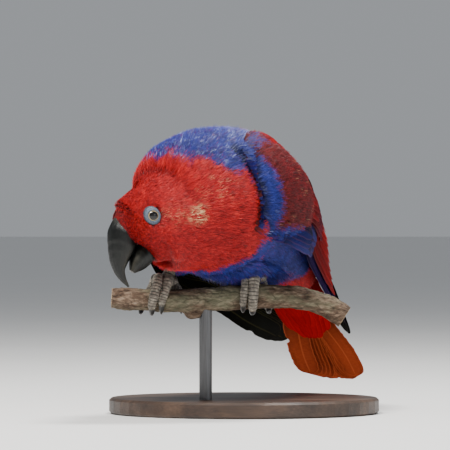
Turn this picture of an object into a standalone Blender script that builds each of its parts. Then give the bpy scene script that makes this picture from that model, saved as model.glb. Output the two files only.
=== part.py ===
"""Female eclectus parrot, life size, perched on a cut length of branch over a plain stand.

Run with: blender --background --python part.py

Units are metres and +Z is up. The origin is the middle of the underside of the stand's base.
The bird looks towards -Y and -X, so its left wing is on the +X side.
"""

import math

import bmesh
import bpy
import numpy as np
from mathutils import Vector
from mathutils.bvhtree import BVHTree

# General sizes
GAP = 0.0003                        # clearance between nodes that meet
PERCH = (-0.012, -0.040, 0.072)     # middle of the perch above the base

# Stand
BASE_RADIUS = 0.085
BASE_HEIGHT = 0.010
BASE_EDGE = 0.0015
ROD_RADIUS = 0.004
ROD_X = -0.012                      # along the perch, between the feet

# Perch: run of the branch, x, z and radius, from the bird's right to its left
PERCH_RUN = (
    (-0.0700, 0.0012, 0.0064),
    (-0.0465, 0.0000, 0.0068),
    (-0.0270, -0.0005, 0.0073),
    (-0.0120, 0.0002, 0.0074),
    (0.0093, 0.0016, 0.0076),
    (0.0300, 0.0022, 0.0072),
    (0.0500, 0.0005, 0.0068),
    (0.0640, -0.0042, 0.0068),
    (0.0740, -0.0105, 0.0070),
)
KNOB = (-0.0192, 0.0015, -0.0048, 0.0062)

# Body from the tail root to the brow, measured from the perch's middle:
# x, y, z, half width, height above the line, depth below it, forward lean above and below
SPINE = (
    (0.0435, 0.1020, 0.0070, 0.0120, 0.0080, 0.0080, 0.00, 0.00),      # tail root
    (0.0380, 0.0840, 0.0190, 0.0215, 0.0185, 0.0190, 0.00, 0.00),      # rump
    (0.0280, 0.0540, 0.0380, 0.0280, 0.0330, 0.0330, 0.00, 0.00),      # hips
    (0.0160, 0.0260, 0.0520, 0.0360, 0.0420, 0.0410, 0.00, 0.00),      # loin
    (0.0020, 0.0000, 0.0600, 0.0420, 0.0460, 0.0450, 0.00, 0.00),      # back
    (-0.0120, -0.0220, 0.0600, 0.0450, 0.0430, 0.0440, 0.00, 0.00),    # shoulders
    (-0.0250, -0.0390, 0.0560, 0.0380, 0.0370, 0.0400, 0.00, 0.00),    # neck base
    (-0.0345, -0.0485, 0.0515, 0.0295, 0.0290, 0.0345, 0.00, 0.00),    # neck
    (-0.0416, -0.0542, 0.0490, 0.0230, 0.0245, 0.0290, 0.00, 0.00),    # nape
    (-0.0480, -0.0560, 0.0450, 0.0195, 0.0235, 0.0252, 0.05, 0.05),    # crown
    (-0.0536, -0.0575, 0.0411, 0.0172, 0.0215, 0.0208, 0.18, 0.20),    # brow
    (-0.0590, -0.0587, 0.0408, 0.0128, 0.0145, 0.0115, 0.56, 0.85),    # face
    (-0.0624, -0.0594, 0.0407, 0.0088, 0.0082, 0.0066, 0.72, 1.00),    # bill root
)
SHOULDER = 0.22                     # how far the right shoulder fills its section's corner
LEFT_FALL = 0.12                    # how far the left shoulder falls away under its wing
RUMP_CUT = 0.040                    # distances along the spine where nodes part
NECK_CUT = 0.150
HEAD_CUT = 0.178

# Head frame: centre, and the way it points
HEAD = (-0.0480, -0.0560, 0.0450)
HEAD_FORWARD = (-0.80, -0.22, -0.56)

# Bill, in the head frame: forward, up, half depth, half width
UPPER_BILL = (
    (0.0080, 0.0094, 0.0080, 0.0078),
    (0.0140, 0.0050, 0.0093, 0.0094),
    (0.0180, 0.0002, 0.0089, 0.0090),
    (0.0220, -0.0038, 0.0075, 0.0078),
    (0.0257, -0.0079, 0.0056, 0.0062),
    (0.0283, -0.0122, 0.0036, 0.0045),
    (0.0293, -0.0178, 0.0020, 0.0027),
    (0.0290, -0.0238, 0.0005, 0.0007),
)
LOWER_BILL = (
    (0.0015, -0.0108, 0.0060, 0.0070),
    (0.0070, -0.0119, 0.0068, 0.0082),
    (0.0130, -0.0138, 0.0065, 0.0079),
    (0.0183, -0.0157, 0.0047, 0.0060),
    (0.0222, -0.0173, 0.0018, 0.0034),
)
# Hollow in the face round the lower bill, which leaves the chin under it
MOUTH = (
    (0.0030, -0.0085, 0.0050, 0.0050),
    (0.0068, -0.0092, 0.0078, 0.0096),
    (0.0120, -0.0100, 0.0090, 0.0170),
    (0.0220, -0.0110, 0.0095, 0.0280),
)
EYE_FORWARD = -0.0035
EYE_UP = 0.0062
EYE_RADIUS = 0.0050
EYE_OPENING = 0.0031
LID_RING = 0.0043
LID_TUBE = 0.0011

# Tail: root, direction, and its vanes
TAIL_ROOT = (0.0440, 0.1040, 0.0055)
TAIL_DIRECTION = (0.28, 0.80, -0.50)
TAIL_LENGTH = 0.116
TAIL_PAIRS = 6
TAIL_VANE_WIDTH = 0.0170
TAIL_TIP_STEP = 0.0020
TAIL_GRADUATION = 0.0028

# Vanes
DRAPE = 0.0006                      # least height of the wing's inner face over the body
VANE_THICKNESS = 0.0006
VANE_PITCH = 0.0010                 # from one vane to the next that lies over it

# Wing axes from the bend to the tip, with the outward direction and the cross curve's radius
LEFT_WING = (
    ((0.0250, -0.0470, 0.0590), (0.80, -0.60, 0.08), 0.045),
    ((0.0385, -0.0230, 0.0590), (0.87, -0.48, 0.10), 0.047),
    ((0.0480, 0.0070, 0.0525), (0.92, -0.38, 0.12), 0.045),
    ((0.0530, 0.0410, 0.0385), (0.93, -0.33, 0.16), 0.042),
    ((0.0595, 0.0770, 0.0210), (0.93, -0.27, 0.24), 0.042),
    ((0.0665, 0.1120, 0.0035), (0.92, -0.20, 0.34), 0.055),
    ((0.0725, 0.1480, -0.0130), (0.88, -0.12, 0.44), 0.090),
    ((0.0765, 0.1860, -0.0300), (0.84, -0.08, 0.50), 0.120),
)
RIGHT_WING = (
    ((-0.0490, 0.0030, 0.0600), (-0.87, 0.49, 0.05), 0.046),
    ((-0.0430, 0.0190, 0.0470), (-0.89, 0.45, -0.02), 0.048),
    ((-0.0270, 0.0450, 0.0280), (-0.90, 0.42, -0.06), 0.048),
    ((-0.0070, 0.0730, 0.0152), (-0.90, 0.40, 0.00), 0.046),
    ((0.0090, 0.1010, 0.0042), (-0.90, 0.36, 0.10), 0.046),
    ((0.0235, 0.1310, -0.0065), (-0.90, 0.32, 0.20), 0.060),
    ((0.0355, 0.1610, -0.0150), (-0.88, 0.28, 0.30), 0.090),
    ((0.0470, 0.1940, -0.0240), (-0.86, 0.26, 0.38), 0.120),
)

# How far each wing's scapulars and upper coverts reach up over the back
REACH_UP = {"left": 0.002, "right": 0.013}

# Flight feathers counted from the leading edge: primaries, secondaries, tertials
PRIMARIES = 7
SECONDARIES = 4
TERTIALS = 3
WRIST_T = -0.0200                   # leading feather's place across the wing at the wrist
PRIMARY_TIPS = (0.214, 0.232, 0.236, 0.226, 0.211, 0.196, 0.181)
SECONDARY_TIP = 0.146
TERTIAL_TIP = 0.150
FOLD = 0.145                        # length along the wing over which it narrows

# Feet: place along the perch, and each toe's sweep round it
TOE_RADIUS = 0.0031
CLAW_LENGTH = 0.0105
FEET = {
    "left": dict(x=0.0180, thigh=(0.0190, 0.0070, 0.0310), toes=(
        ("inner", 0.0132, 0.0112, 122.0, 0.86),
        ("middle", 0.0182, 0.0170, 140.0, 1.06),
        ("outer_hind", 0.0225, 0.0272, -146.0, 0.94),
        ("inner_hind", 0.0145, 0.0125, -100.0, 0.90),
    )),
    "right": dict(x=-0.0375, thigh=(-0.0280, 0.0070, 0.0330), toes=(
        ("inner", -0.0350, -0.0392, 108.0, 0.94),
        ("middle", -0.0410, -0.0452, 122.0, 1.04),
        ("outer_hind", -0.0430, -0.0520, -126.0, 0.94),
        ("inner_hind", -0.0335, -0.0278, -84.0, 1.05),
    )),
}
THIGH_RADII = (0.0120, 0.0140, 0.0170)

# Colours, roughness and metallic value
LOOKS = {
    "red_feathers": ((0.52, 0.012, 0.016), 0.75, 0.0),
    "blue_feathers": ((0.045, 0.050, 0.36), 0.75, 0.0),
    "maroon_feathers": ((0.24, 0.010, 0.020), 0.70, 0.0),
    "tail_feathers": ((0.55, 0.090, 0.030), 0.70, 0.0),
    "bill_horn": ((0.020, 0.022, 0.020), 0.35, 0.0),
    "eye_gloss": ((0.020, 0.015, 0.012), 0.08, 0.0),
    "foot_skin": ((0.17, 0.165, 0.16), 0.65, 0.0),
    "claw_horn": ((0.030, 0.028, 0.026), 0.35, 0.0),
    "bark": ((0.20, 0.145, 0.095), 0.90, 0.0),
    "stand_wood": ((0.050, 0.028, 0.016), 0.45, 0.0),
    "stand_metal": ((0.10, 0.10, 0.10), 0.40, 0.8),
}

PARTS = None
CUTTERS = None


def clear_scene():
    for item in list(bpy.data.objects):
        bpy.data.objects.remove(item, do_unlink=True)


def make_collections():
    global PARTS, CUTTERS
    PARTS = bpy.data.collections.new("eclectus_parrot")
    CUTTERS = bpy.data.collections.new("cutters")
    bpy.context.scene.collection.children.link(PARTS)
    bpy.context.scene.collection.children.link(CUTTERS)


def material(name):
    if name in bpy.data.materials:
        return bpy.data.materials[name]
    colour, roughness, metallic = LOOKS[name]
    made = bpy.data.materials.new(name)
    made.use_nodes = True
    shader = made.node_tree.nodes["Principled BSDF"]
    shader.inputs["Base Color"].default_value = (*colour, 1.0)
    shader.inputs["Roughness"].default_value = roughness
    shader.inputs["Metallic"].default_value = metallic
    made.diffuse_color = (*colour, 1.0)
    return made


def unit(vector):
    vector = np.asarray(vector, dtype=float)
    return vector / np.linalg.norm(vector)


def smooth(x):
    x = min(1.0, max(0.0, x))
    return x * x * (3.0 - 2.0 * x)


class Line:
    """A smooth line through rows of numbers, spaced by the distance between their first three."""

    def __init__(self, rows):
        self.rows = np.array(rows, dtype=float)
        steps = np.linalg.norm(np.diff(self.rows[:, :3], axis=0), axis=1)
        self.at = np.concatenate([[0.0], np.cumsum(steps)])
        slopes = np.gradient(self.rows, self.at, axis=0)
        self.slopes = slopes

    @property
    def length(self):
        return float(self.at[-1])

    def __call__(self, s):
        if s < 0.0:
            return self.rows[0] + self.slopes[0] * s
        if s > self.length:
            return self.rows[-1] + self.slopes[-1] * (s - self.length)
        i = min(len(self.at) - 2, int(np.searchsorted(self.at, s, side="right")) - 1)
        span = self.at[i + 1] - self.at[i]
        x = (s - self.at[i]) / span
        a = (1.0 + 2.0 * x) * (1.0 - x) ** 2
        b = x * (1.0 - x) ** 2
        c = x * x * (3.0 - 2.0 * x)
        d = x * x * (x - 1.0)
        return (a * self.rows[i] + b * span * self.slopes[i]
                + c * self.rows[i + 1] + d * span * self.slopes[i + 1])

    def direction(self, s):
        step = 0.001
        return unit(self(s + step)[:3] - self(s - step)[:3])


def mesh_object(name, points, faces, look, home=None):
    mesh = bpy.data.meshes.new(name)
    mesh.from_pydata([tuple(p) for p in points], [], faces)
    work = bmesh.new()
    work.from_mesh(mesh)
    bmesh.ops.recalc_face_normals(work, faces=work.faces)
    work.to_mesh(mesh)
    work.free()
    made = bpy.data.objects.new(name, mesh)
    (home or PARTS).objects.link(made)
    if look:
        mesh.materials.append(material(look))
    return made


def loft(name, rings, look, home=None):
    """Skin a row of closed rings and close its ends with fans."""
    count = len(rings[0])
    points = [p for ring in rings for p in ring]
    faces = []
    for j in range(len(rings) - 1):
        for i in range(count):
            k = (i + 1) % count
            a, b = j * count + i, j * count + k
            faces.append((a, b, b + count))
            faces.append((a, b + count, a + count))
    for j in (0, len(rings) - 1):
        points.append(np.mean(np.array(rings[j]), axis=0))
        middle = len(points) - 1
        for i in range(count):
            faces.append((j * count + i, j * count + (i + 1) % count, middle))
    return mesh_object(name, points, faces, look, home)


def round_shading(made, angle=40.0):
    made.data.shade_smooth()
    made.data.set_sharp_from_angle(angle=math.radians(angle))


def frozen(made):
    """The object's evaluated mesh, as a plain mesh."""
    bpy.context.view_layer.update()
    graph = bpy.context.evaluated_depsgraph_get()
    return bpy.data.meshes.new_from_object(made.evaluated_get(graph))


def keep_largest(mesh):
    work = bmesh.new()
    work.from_mesh(mesh)
    bmesh.ops.remove_doubles(work, verts=work.verts, dist=1e-6)
    bmesh.ops.dissolve_degenerate(work, dist=1e-6, edges=work.edges)
    bmesh.ops.triangulate(work, faces=work.faces)
    work.faces.ensure_lookup_table()
    left = set(work.faces)
    best, best_volume = None, -1.0
    while left:
        seed = left.pop()
        island, front = [seed], [seed]
        while front:
            face = front.pop()
            for edge in face.edges:
                for other in edge.link_faces:
                    if other in left:
                        left.discard(other)
                        island.append(other)
                        front.append(other)
        volume = 0.0
        for face in island:
            a, b, c = (v.co for v in face.verts)
            volume += a.dot(b.cross(c)) / 6.0
        if volume > best_volume:
            best, best_volume = set(island), volume
    extra = [f for f in work.faces if f not in best]
    if extra:
        bmesh.ops.delete(work, geom=extra, context="FACES")
    loose = [v for v in work.verts if not v.link_faces]
    if loose:
        bmesh.ops.delete(work, geom=loose, context="VERTS")
    work.to_mesh(mesh)
    work.free()


def join(base, pieces=(), cutters=(), look=None, solver="EXACT"):
    """Union pieces with the base, then cut it clear of the cutters."""
    for operation, items in (("UNION", pieces), ("DIFFERENCE", cutters)):
        items = [item for item in items if item is not None]
        if not items:
            continue
        group = bpy.data.collections.new(base.name + "_" + operation.lower())
        CUTTERS.children.link(group)
        for item in items:
            for home in list(item.users_collection):
                home.objects.unlink(item)
            group.objects.link(item)
            item.hide_render = True
            item.display_type = "WIRE"
        step = base.modifiers.new(operation.lower(), "BOOLEAN")
        step.operation = operation
        step.operand_type = "COLLECTION"
        step.collection = group
        step.solver = solver
        mesh = frozen(base)
        base.modifiers.remove(step)
        old = base.data
        base.data = mesh
        bpy.data.meshes.remove(old)
        for item in items:
            data = item.data
            bpy.data.objects.remove(item, do_unlink=True)
            if data.users == 0:
                bpy.data.meshes.remove(data)
        bpy.data.collections.remove(group)
    keep_largest(base.data)
    if look:
        base.data.materials.clear()
        base.data.materials.append(material(look))
    return base


def closed(mesh):
    """Whether every edge has exactly two faces."""
    work = bmesh.new()
    work.from_mesh(mesh)
    whole = all(len(edge.link_faces) == 2 for edge in work.edges)
    work.free()
    return whole


def feathered(make, clear, look):
    """Join vanes with their core, a hair thicker if two of them only touch along an edge."""
    for turn in range(8):
        core, vanes = make(VANE_THICKNESS * (1.0 + 0.01 * turn))
        join(core, vanes, clear(), look, "MANIFOLD")
        if closed(core.data) or turn == 7:
            return core
        bpy.data.objects.remove(core, do_unlink=True)


def perch_point(point):
    return np.asarray(point[:3], dtype=float) + np.array(PERCH)


# Body

SPINE_LINE = Line(SPINE)

# Each length of the body: its two ends along the spine, its rings and its sides
LENGTHS = {
    "rump": (0.0, RUMP_CUT - 0.5 * GAP, 4, 20),
    "torso": (RUMP_CUT + 0.5 * GAP, NECK_CUT - 0.5 * GAP, 9, 28),
    "neck": (NECK_CUT + 0.5 * GAP, HEAD_CUT - 0.5 * GAP, 4, 24),
    "head": (HEAD_CUT + 0.5 * GAP, SPINE_LINE.length, 9, 20),
}


def spine_frame(s):
    forward = SPINE_LINE.direction(s)
    left = unit(np.cross((0.0, 0.0, 1.0), forward))
    up = np.cross(forward, left)
    return forward, left, up


def spine_ring(s, sides, grow=0.0, shift=0.0):
    """Ring of the body at a distance along the spine, the section slightly fuller than an oval."""
    row = SPINE_LINE(s)
    forward, left, up = spine_frame(s)
    centre = perch_point(row) + forward * shift
    ring = []
    for i in range(sides):
        angle = 2.0 * math.pi * i / sides
        c, z = math.cos(angle), math.sin(angle)
        power = 0.92
        if z > 0:
            power = 1.0 if c > 0 else 0.92 - SHOULDER * smooth((s - 0.060) / 0.040)
        c = math.copysign(abs(c) ** power, c)
        if c > 0 and z > 0:
            c *= 1.0 - LEFT_FALL * z * smooth((s - 0.050) / 0.050)
        z = math.copysign(abs(z) ** power, z)
        height, lean = (row[4], row[6]) if z > 0 else (row[5], row[7])
        rise = z * (height + grow)
        ring.append(centre + left * c * (row[3] + grow) + (up + forward * lean) * rise)
    return ring


def body_piece(length, look, grow=0.0, home=None, name=None, nose=0.0):
    """Length of the body between two distances along the spine, with an optional rounded end."""
    start, end, count, sides = LENGTHS[length]
    name = name or length
    stops = [start + (end - start) * j / (count - 1) for j in range(count)]
    rings = []
    for j, s in enumerate(stops):
        shift = -grow if j == 0 else grow if j == count - 1 else 0.0
        rings.append(spine_ring(s, sides, grow, shift))
    if nose > 0.0:
        last = np.array(rings[-1])
        middle = last.mean(axis=0)
        forward = spine_frame(end)[0]
        rings.append([middle + (p - middle) * 0.70 + forward * nose for p in last])
    return loft(name, rings, look, home)


def body_clear(lengths, grow):
    """The named lengths, a little larger all round, to cut other nodes clear of them."""
    return [body_piece(length, None, grow, CUTTERS, length + "_clear") for length in lengths]


# Head frame

def head_axes():
    forward = unit(HEAD_FORWARD)
    left = unit(np.cross((0.0, 0.0, 1.0), forward))
    up = np.cross(forward, left)
    return forward, left, up


def head_point(forward_by, left_by, up_by):
    forward, left, up = head_axes()
    return perch_point(HEAD) + forward * forward_by + left * left_by + up * up_by


def bill(name, rows, sides, look, grow=0.0, home=None, flat=0.0):
    """Horn sheath along a curved line in the head's middle plane, sharper along its ridge."""
    line = Line([(r[0], 0.0, r[1], r[2], r[3]) for r in rows])
    rings = []
    forward, left, up = head_axes()
    for j, row in enumerate(rows):
        s = line.at[j]
        d = line.direction(s)
        along = forward * d[0] + up * d[2]
        out = np.cross(left, along)
        centre = head_point(row[0], 0.0, row[1])
        if j == 0:
            centre = centre - along * grow
        if j == len(rows) - 1:
            centre = centre + along * grow
        ring = []
        for i in range(sides):
            angle = 2.0 * math.pi * i / sides
            c, z = math.cos(angle), math.sin(angle)
            wide = (row[3] + grow) * c
            if z > 0:
                wide *= 1.0 - 0.25 * z
                deep = (row[2] + grow) * z
            else:
                deep = (row[2] + grow) * z * (1.0 - flat)
            ring.append(centre + left * wide - out * deep)
        rings.append(ring)
    return loft(name, rings, look, home)


def ball(name, centre, radii, look, home=None, detail=2, turn=None):
    work = bmesh.new()
    bmesh.ops.create_icosphere(work, subdivisions=detail, radius=1.0)
    mesh = bpy.data.meshes.new(name)
    for vert in work.verts:
        p = Vector((vert.co.x * radii[0], vert.co.y * radii[1], vert.co.z * radii[2]))
        if turn:
            p = turn @ p
        vert.co = p + Vector(centre)
    work.to_mesh(mesh)
    work.free()
    made = bpy.data.objects.new(name, mesh)
    (home or PARTS).objects.link(made)
    if look:
        mesh.materials.append(material(look))
    return made


def tube(name, points, radii, sides, look, home=None):
    """Round body along a row of points, with its own radius at each."""
    points = [np.asarray(p, dtype=float) for p in points]
    rings = []
    normal = None
    for j, p in enumerate(points):
        before = points[max(0, j - 1)]
        after = points[min(len(points) - 1, j + 1)]
        along = unit(after - before)
        if normal is None:
            guess = np.array((1.0, 0.0, 0.0)) if abs(along[0]) < 0.8 else np.array((0.0, 0.0, 1.0))
            normal = unit(guess - along * guess.dot(along))
        normal = unit(normal - along * normal.dot(along))
        side = np.cross(along, normal)
        rings.append([p + radii[j] * (math.cos(2.0 * math.pi * i / sides) * normal
                                      + math.sin(2.0 * math.pi * i / sides) * side)
                      for i in range(sides)])
    return loft(name, rings, look, home)


# Vanes

def vane(surface, stops, middle, low, high, lift, tilt, shape, thick):
    """One feather as a thin blade on a surface, split into triangles alike on both faces.

    surface(a, t, d) gives a point from the distance along, across and out of the surface.
    middle, low, high, lift and tilt are functions of the distance along.
    """
    first, last = stops[0], stops[-1]
    points = []
    for a in stops:
        x = (a - first) / (last - first)
        wide = shape(x)
        half = 0.5 * thick * (1.0 if x < 0.8 else 1.0 - 1.4 * (x - 0.8))
        t, d, slope = middle(a), lift(a), tilt(a)
        for side in (-1.0, 1.0):
            for across in (-low(a) * wide, 0.0, high(a) * wide):
                points.append(surface(a, t + across, d + slope * across + side * half))
    faces = []
    for j in range(len(stops) - 1):
        p, q = j * 6, j * 6 + 6
        for i in (0, 1):
            for base in (0, 3):
                a, b, c, d = p + base + i, p + base + i + 1, q + base + i + 1, q + base + i
                faces.append((a, b, c))
                faces.append((a, c, d))
        for edge in (0, 2):
            a, b, c, d = p + edge, p + edge + 3, q + edge + 3, q + edge
            faces.append((a, b, c))
            faces.append((a, c, d))
    end = (len(stops) - 1) * 6
    for p in (0, end):
        for i in (0, 1):
            faces.append((p + i, p + i + 1, p + i + 4))
            faces.append((p + i, p + i + 4, p + i + 3))
    return mesh_object("vane", points, faces, None, CUTTERS)


def blade_shape(x):
    """Width along a flight or tail feather: a narrow root, a full blade and a rounded tip."""
    grown = 0.45 + 0.55 * smooth(x / 0.35)
    if x < 0.86:
        return grown
    return grown * max(0.22, math.sqrt(max(0.0, 1.0 - ((x - 0.86) / 0.14) ** 2)))


def covert_shape(x):
    grown = 0.60 + 0.40 * smooth(x / 0.45)
    if x < 0.70:
        return grown
    return grown * max(0.30, math.sqrt(max(0.0, 1.0 - ((x - 0.70) / 0.30) ** 2)))


def stops_between(first, last, grid, tip):
    """Places of the rings: the two ends, a common grid between them and one ring near the tip."""
    shoulder = last - tip
    stops = [first]
    k = math.ceil((first + 0.25 * grid) / grid)
    while k * grid < shoulder - 0.3 * grid:
        stops.append(k * grid)
        k += 1
    stops.append(shoulder)
    stops.append(last)
    return stops


def body_surface():
    """The body from the rump to the neck, to measure heights above."""
    stops = np.linspace(0.0, HEAD_CUT, 40)
    sides = 40
    points = [p for s in stops for p in spine_ring(s, sides)]
    faces = []
    for j in range(len(stops) - 1):
        for i in range(sides):
            a, b = j * sides + i, j * sides + (i + 1) % sides
            faces.append((a, b, b + sides, a + sides))
    return BVHTree.FromPolygons([tuple(p) for p in points], faces)


class WingSheet:
    """Curved sheet that a folded wing's feathers lie on, draped over the body where it swells."""

    ALONG = np.linspace(-0.020, 0.250, 28)
    ACROSS = np.linspace(-0.036, 0.060, 25)

    def __init__(self, rows, hand):
        self.line = Line([(*p, *n, r) for p, n, r in rows])
        self.hand = hand
        self.rise = self.measured_rise()

    def measured_rise(self):
        """How far the body swells through the bare sheet, smoothed."""
        tree = body_surface()
        rise = np.zeros((len(self.ALONG), len(self.ACROSS)))
        for i, a in enumerate(self.ALONG):
            for j, t in enumerate(self.ACROSS):
                start = self.bare(a, t, 0.020)
                inward = unit(self.bare(a, t, 0.0) - start)
                hit = tree.ray_cast(Vector(start), Vector(inward), 0.030)
                if hit[0] is not None:
                    rise[i, j] = max(0.0, 0.020 - hit[3] + DRAPE)
        for turn in range(2):
            padded = np.pad(rise, 1, mode="edge")
            even = (padded[:-2, 1:-1] + padded[2:, 1:-1] + padded[1:-1, :-2] + padded[1:-1, 2:]) / 4.0
            rise = np.maximum(rise, 0.5 * (rise + even))
        return rise

    def draped(self, a, t):
        x = np.interp(a, self.ALONG, np.arange(len(self.ALONG)))
        y = np.interp(t, self.ACROSS, np.arange(len(self.ACROSS)))
        i, j = min(int(x), len(self.ALONG) - 2), min(int(y), len(self.ACROSS) - 2)
        u, v = x - i, y - j
        low = self.rise[i, j] * (1.0 - v) + self.rise[i, j + 1] * v
        high = self.rise[i + 1, j] * (1.0 - v) + self.rise[i + 1, j + 1] * v
        return low * (1.0 - u) + high * u

    def frame(self, a):
        row = self.line(a)
        along = self.line.direction(a)
        out = row[3:6] - along * np.dot(row[3:6], along)
        out = unit(out)
        across = np.cross(out, along) * self.hand
        return row, along, out, across

    def __call__(self, a, t, d):
        return self.bare(a, t, d + self.draped(a, t))

    def bare(self, a, t, d):
        row, along, out, across = self.frame(a)
        radius = row[6]
        angle = t / radius
        centre = perch_point(row) - out * radius
        return centre + (radius + d) * (math.cos(angle) * out + math.sin(angle) * across)


def flight_places():
    """Place across the wing of each flight feather, at the wrist and at the folded end."""
    front = [WRIST_T + 0.0027 * k for k in range(PRIMARIES)]
    rear = [-0.0130 + 0.0023 * k for k in range(PRIMARIES)]
    for j in range(SECONDARIES):
        front.append(0.0012 + 0.0064 * j)
        rear.append(0.0038 + 0.0038 * j)
    for j in range(TERTIALS):
        front.append(0.0270 + 0.0040 * j)
        rear.append(0.0195 + 0.0042 * j)
    return front, rear


def wing(side, thick):
    rows = LEFT_WING if side == "left" else RIGHT_WING
    hand = 1.0 if side == "left" else -1.0
    sheet = WingSheet(rows, hand)
    front, rear = flight_places()
    total = len(front)

    def place(k, a):
        x = smooth(a / FOLD)
        t = front[k] + (rear[k] - front[k]) * x
        if a > FOLD:
            t *= 1.0 - 0.30 * min(1.0, (a - FOLD) / 0.08)
        return t

    def slope(k, a):
        low, high = max(0, k - 1), min(total - 1, k + 1)
        spacing = (place(high, a) - place(low, a)) / (high - low)
        return -VANE_PITCH / max(0.0022, spacing)

    # Arm: the fleshy part and its small coverts, which the feathers are rooted in
    rings = []
    up = REACH_UP[side]
    for a, low, high, depth in (
            (-0.008, -0.004, 0.014, 0.0014),
            (0.001, -0.013, 0.028 + 0.5 * up, 0.0044),
            (0.016, -0.020, 0.036 + up, 0.0062),
            (0.036, -0.021, 0.038 + up, 0.0062),
            (0.054, -0.017, 0.034 + up, 0.0054),
            (0.068, -0.008, 0.027 + 0.5 * up, 0.0042)):
        ring = []
        for x in (-1.0, -0.72, -0.25, 0.25, 0.72, 1.0):
            t = 0.5 * (low + high) + 0.5 * (high - low) * x
            fall = (1.0 - x * x) * (1.0 - 0.30 * x) if x > 0 else 1.0 + x ** 3
            ring.append(sheet(a, t, 0.0008 + depth * fall))
        for x in (0.6, 0.0, -0.6):
            t = 0.5 * (low + high) + 0.5 * (high - low) * x
            ring.append(sheet(a, t, 0.0004))
        rings.append(ring)
    name = "wing_" + side
    arm = loft(name, rings, "maroon_feathers")
    pieces = []

    # Flight feathers
    for k in range(total):
        if k < PRIMARIES:
            tip = PRIMARY_TIPS[k]
            root = 0.050 - 0.004 * k
        elif k < PRIMARIES + SECONDARIES:
            j = k - PRIMARIES
            tip = SECONDARY_TIP - 0.0015 * j
            root = 0.030 + 0.004 * j
        else:
            j = k - PRIMARIES - SECONDARIES
            tip = TERTIAL_TIP - 0.007 * j
            root = 0.050 + 0.002 * j
        pieces.append(vane(
            sheet, stops_between(root, tip, 0.044, 0.014),
            lambda a, k=k: place(k, a), lambda a: 0.0050, lambda a: 0.0078,
            lambda a: 0.0040, lambda a, k=k: slope(k, a), blade_shape, thick))

    # Coverts in tiers over the roots of the flight feathers
    tiers = (
        # count, first t, last t, root, tip, tip change, width, lift at root, lift at tip
        (4, -0.0175, -0.0050, 0.044, 0.090, 0.000, 0.0060, 0.0050, 0.0074),
        (5, 0.0010, 0.0260, 0.046, 0.096, -0.004, 0.0082, 0.0048, 0.0072),
        (4, 0.0020, 0.0260, 0.034, 0.070, -0.004, 0.0092, 0.0054, 0.0082),
        (4, -0.0060, 0.0240, 0.016, 0.048, -0.003, 0.0100, 0.0054, 0.0086),
        (2, -0.0200, -0.0140, 0.018, 0.062, -0.005, 0.0050, 0.0048, 0.0084),
    )
    for count, first, last, root, tip, change, width, rise, top in tiers:
        step = (last - first) / (count - 1)
        for j in range(count):
            t = first + step * j
            end = tip + change * j / (count - 1)

            def middle(a, t=t):
                return t * (1.0 - 0.10 * smooth(a / 0.10))

            def lift(a, t=t, root=root, end=end, rise=rise, top=top):
                raised = rise + (top - rise) * smooth((a - root) / (0.7 * (end - root)))
                return raised - 0.0030 * smooth((t - 0.008) / 0.020)

            pieces.append(vane(
                sheet, stops_between(root, end, 0.030, 0.010),
                middle, lambda a, width=width: width * 0.9, lambda a, width=width: width * 1.1,
                lift, lambda a, step=step: -VANE_PITCH / step, covert_shape, thick))

    # Scapulars from the shoulder over the tertials
    for j in range(5):
        x = j / 4.0
        root = 0.012 + 0.036 * x
        tip = 0.066 + 0.070 * x
        t0 = 0.0330 - 0.0020 * x + up
        t1 = 0.0380 - 0.0100 * x + up

        def middle(a, root=root, tip=tip, t0=t0, t1=t1):
            return t0 + (t1 - t0) * smooth((a - root) / (tip - root))

        def lift(a, root=root, tip=tip, x=x):
            return 0.0022 + 0.0030 * smooth((a - root) / (tip - root)) - 0.0004 * x

        pieces.append(vane(
            sheet, stops_between(root, tip, 0.030, 0.012),
            middle, lambda a: 0.0078, lambda a: 0.0078, lift, lambda a: -0.05,
            covert_shape, thick))
    return arm, pieces


# Tail

def tail_axes():
    along = unit(TAIL_DIRECTION)
    left = unit(np.cross((0.0, 0.0, 1.0), -along))
    up = np.cross(-along, left)
    return along, left, up


def tail_surface(s, t, d):
    along, left, up = tail_axes()
    droop = 0.000 + 0.9 * s * s
    return perch_point(TAIL_ROOT) + along * s + left * t + up * (d - droop * 0.5)


def tail(thick):
    rings = []
    for s, wide, high, low in (
            (0.0003, 0.0112, 0.0062, 0.0062),
            (0.010, 0.0125, 0.0058, 0.0062),
            (0.022, 0.0130, 0.0046, 0.0054),
            (0.034, 0.0110, 0.0020, 0.0030)):
        ring = []
        for i in range(12):
            angle = 2.0 * math.pi * i / 12
            c, z = math.cos(angle), math.sin(angle)
            ring.append(tail_surface(s, wide * c, (high if z > 0 else low) * z - 0.0004))
        rings.append(ring)
    core = loft("tail", rings, "tail_feathers")
    pieces = []
    reach = 0.5 * TAIL_VANE_WIDTH
    for hand in (1.0, -1.0):
        for i in range(TAIL_PAIRS):
            end = TAIL_LENGTH - TAIL_GRADUATION * i - (0.0 if hand > 0 else 0.0015)
            offset = 0.0034 + TAIL_TIP_STEP * i
            level = 0.0022 - 0.0010 * i
            cross = 0.0 if i else 0.0050
            if i == 0:
                level = 0.0032 if hand > 0 else 0.0022

            def place(a, offset=offset):
                return 0.0034 + (offset - 0.0034) * smooth(a / 0.09) + 0.020 * a * (offset > 0.004)

            def middle(a, hand=hand, place=place):
                return hand * place(a)

            def inner(a, place=place, cross=cross):
                return min(reach, place(a) - 0.0003 + cross)

            def outer(a):
                return reach

            low, high = (inner, outer) if hand > 0 else (outer, inner)
            pieces.append(vane(
                tail_surface, stops_between(0.012 + 0.001 * i, end, 0.036, 0.012),
                middle, low, high, lambda a, level=level: level,
                lambda a: 0.0, blade_shape, thick))
    return core, pieces


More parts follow.
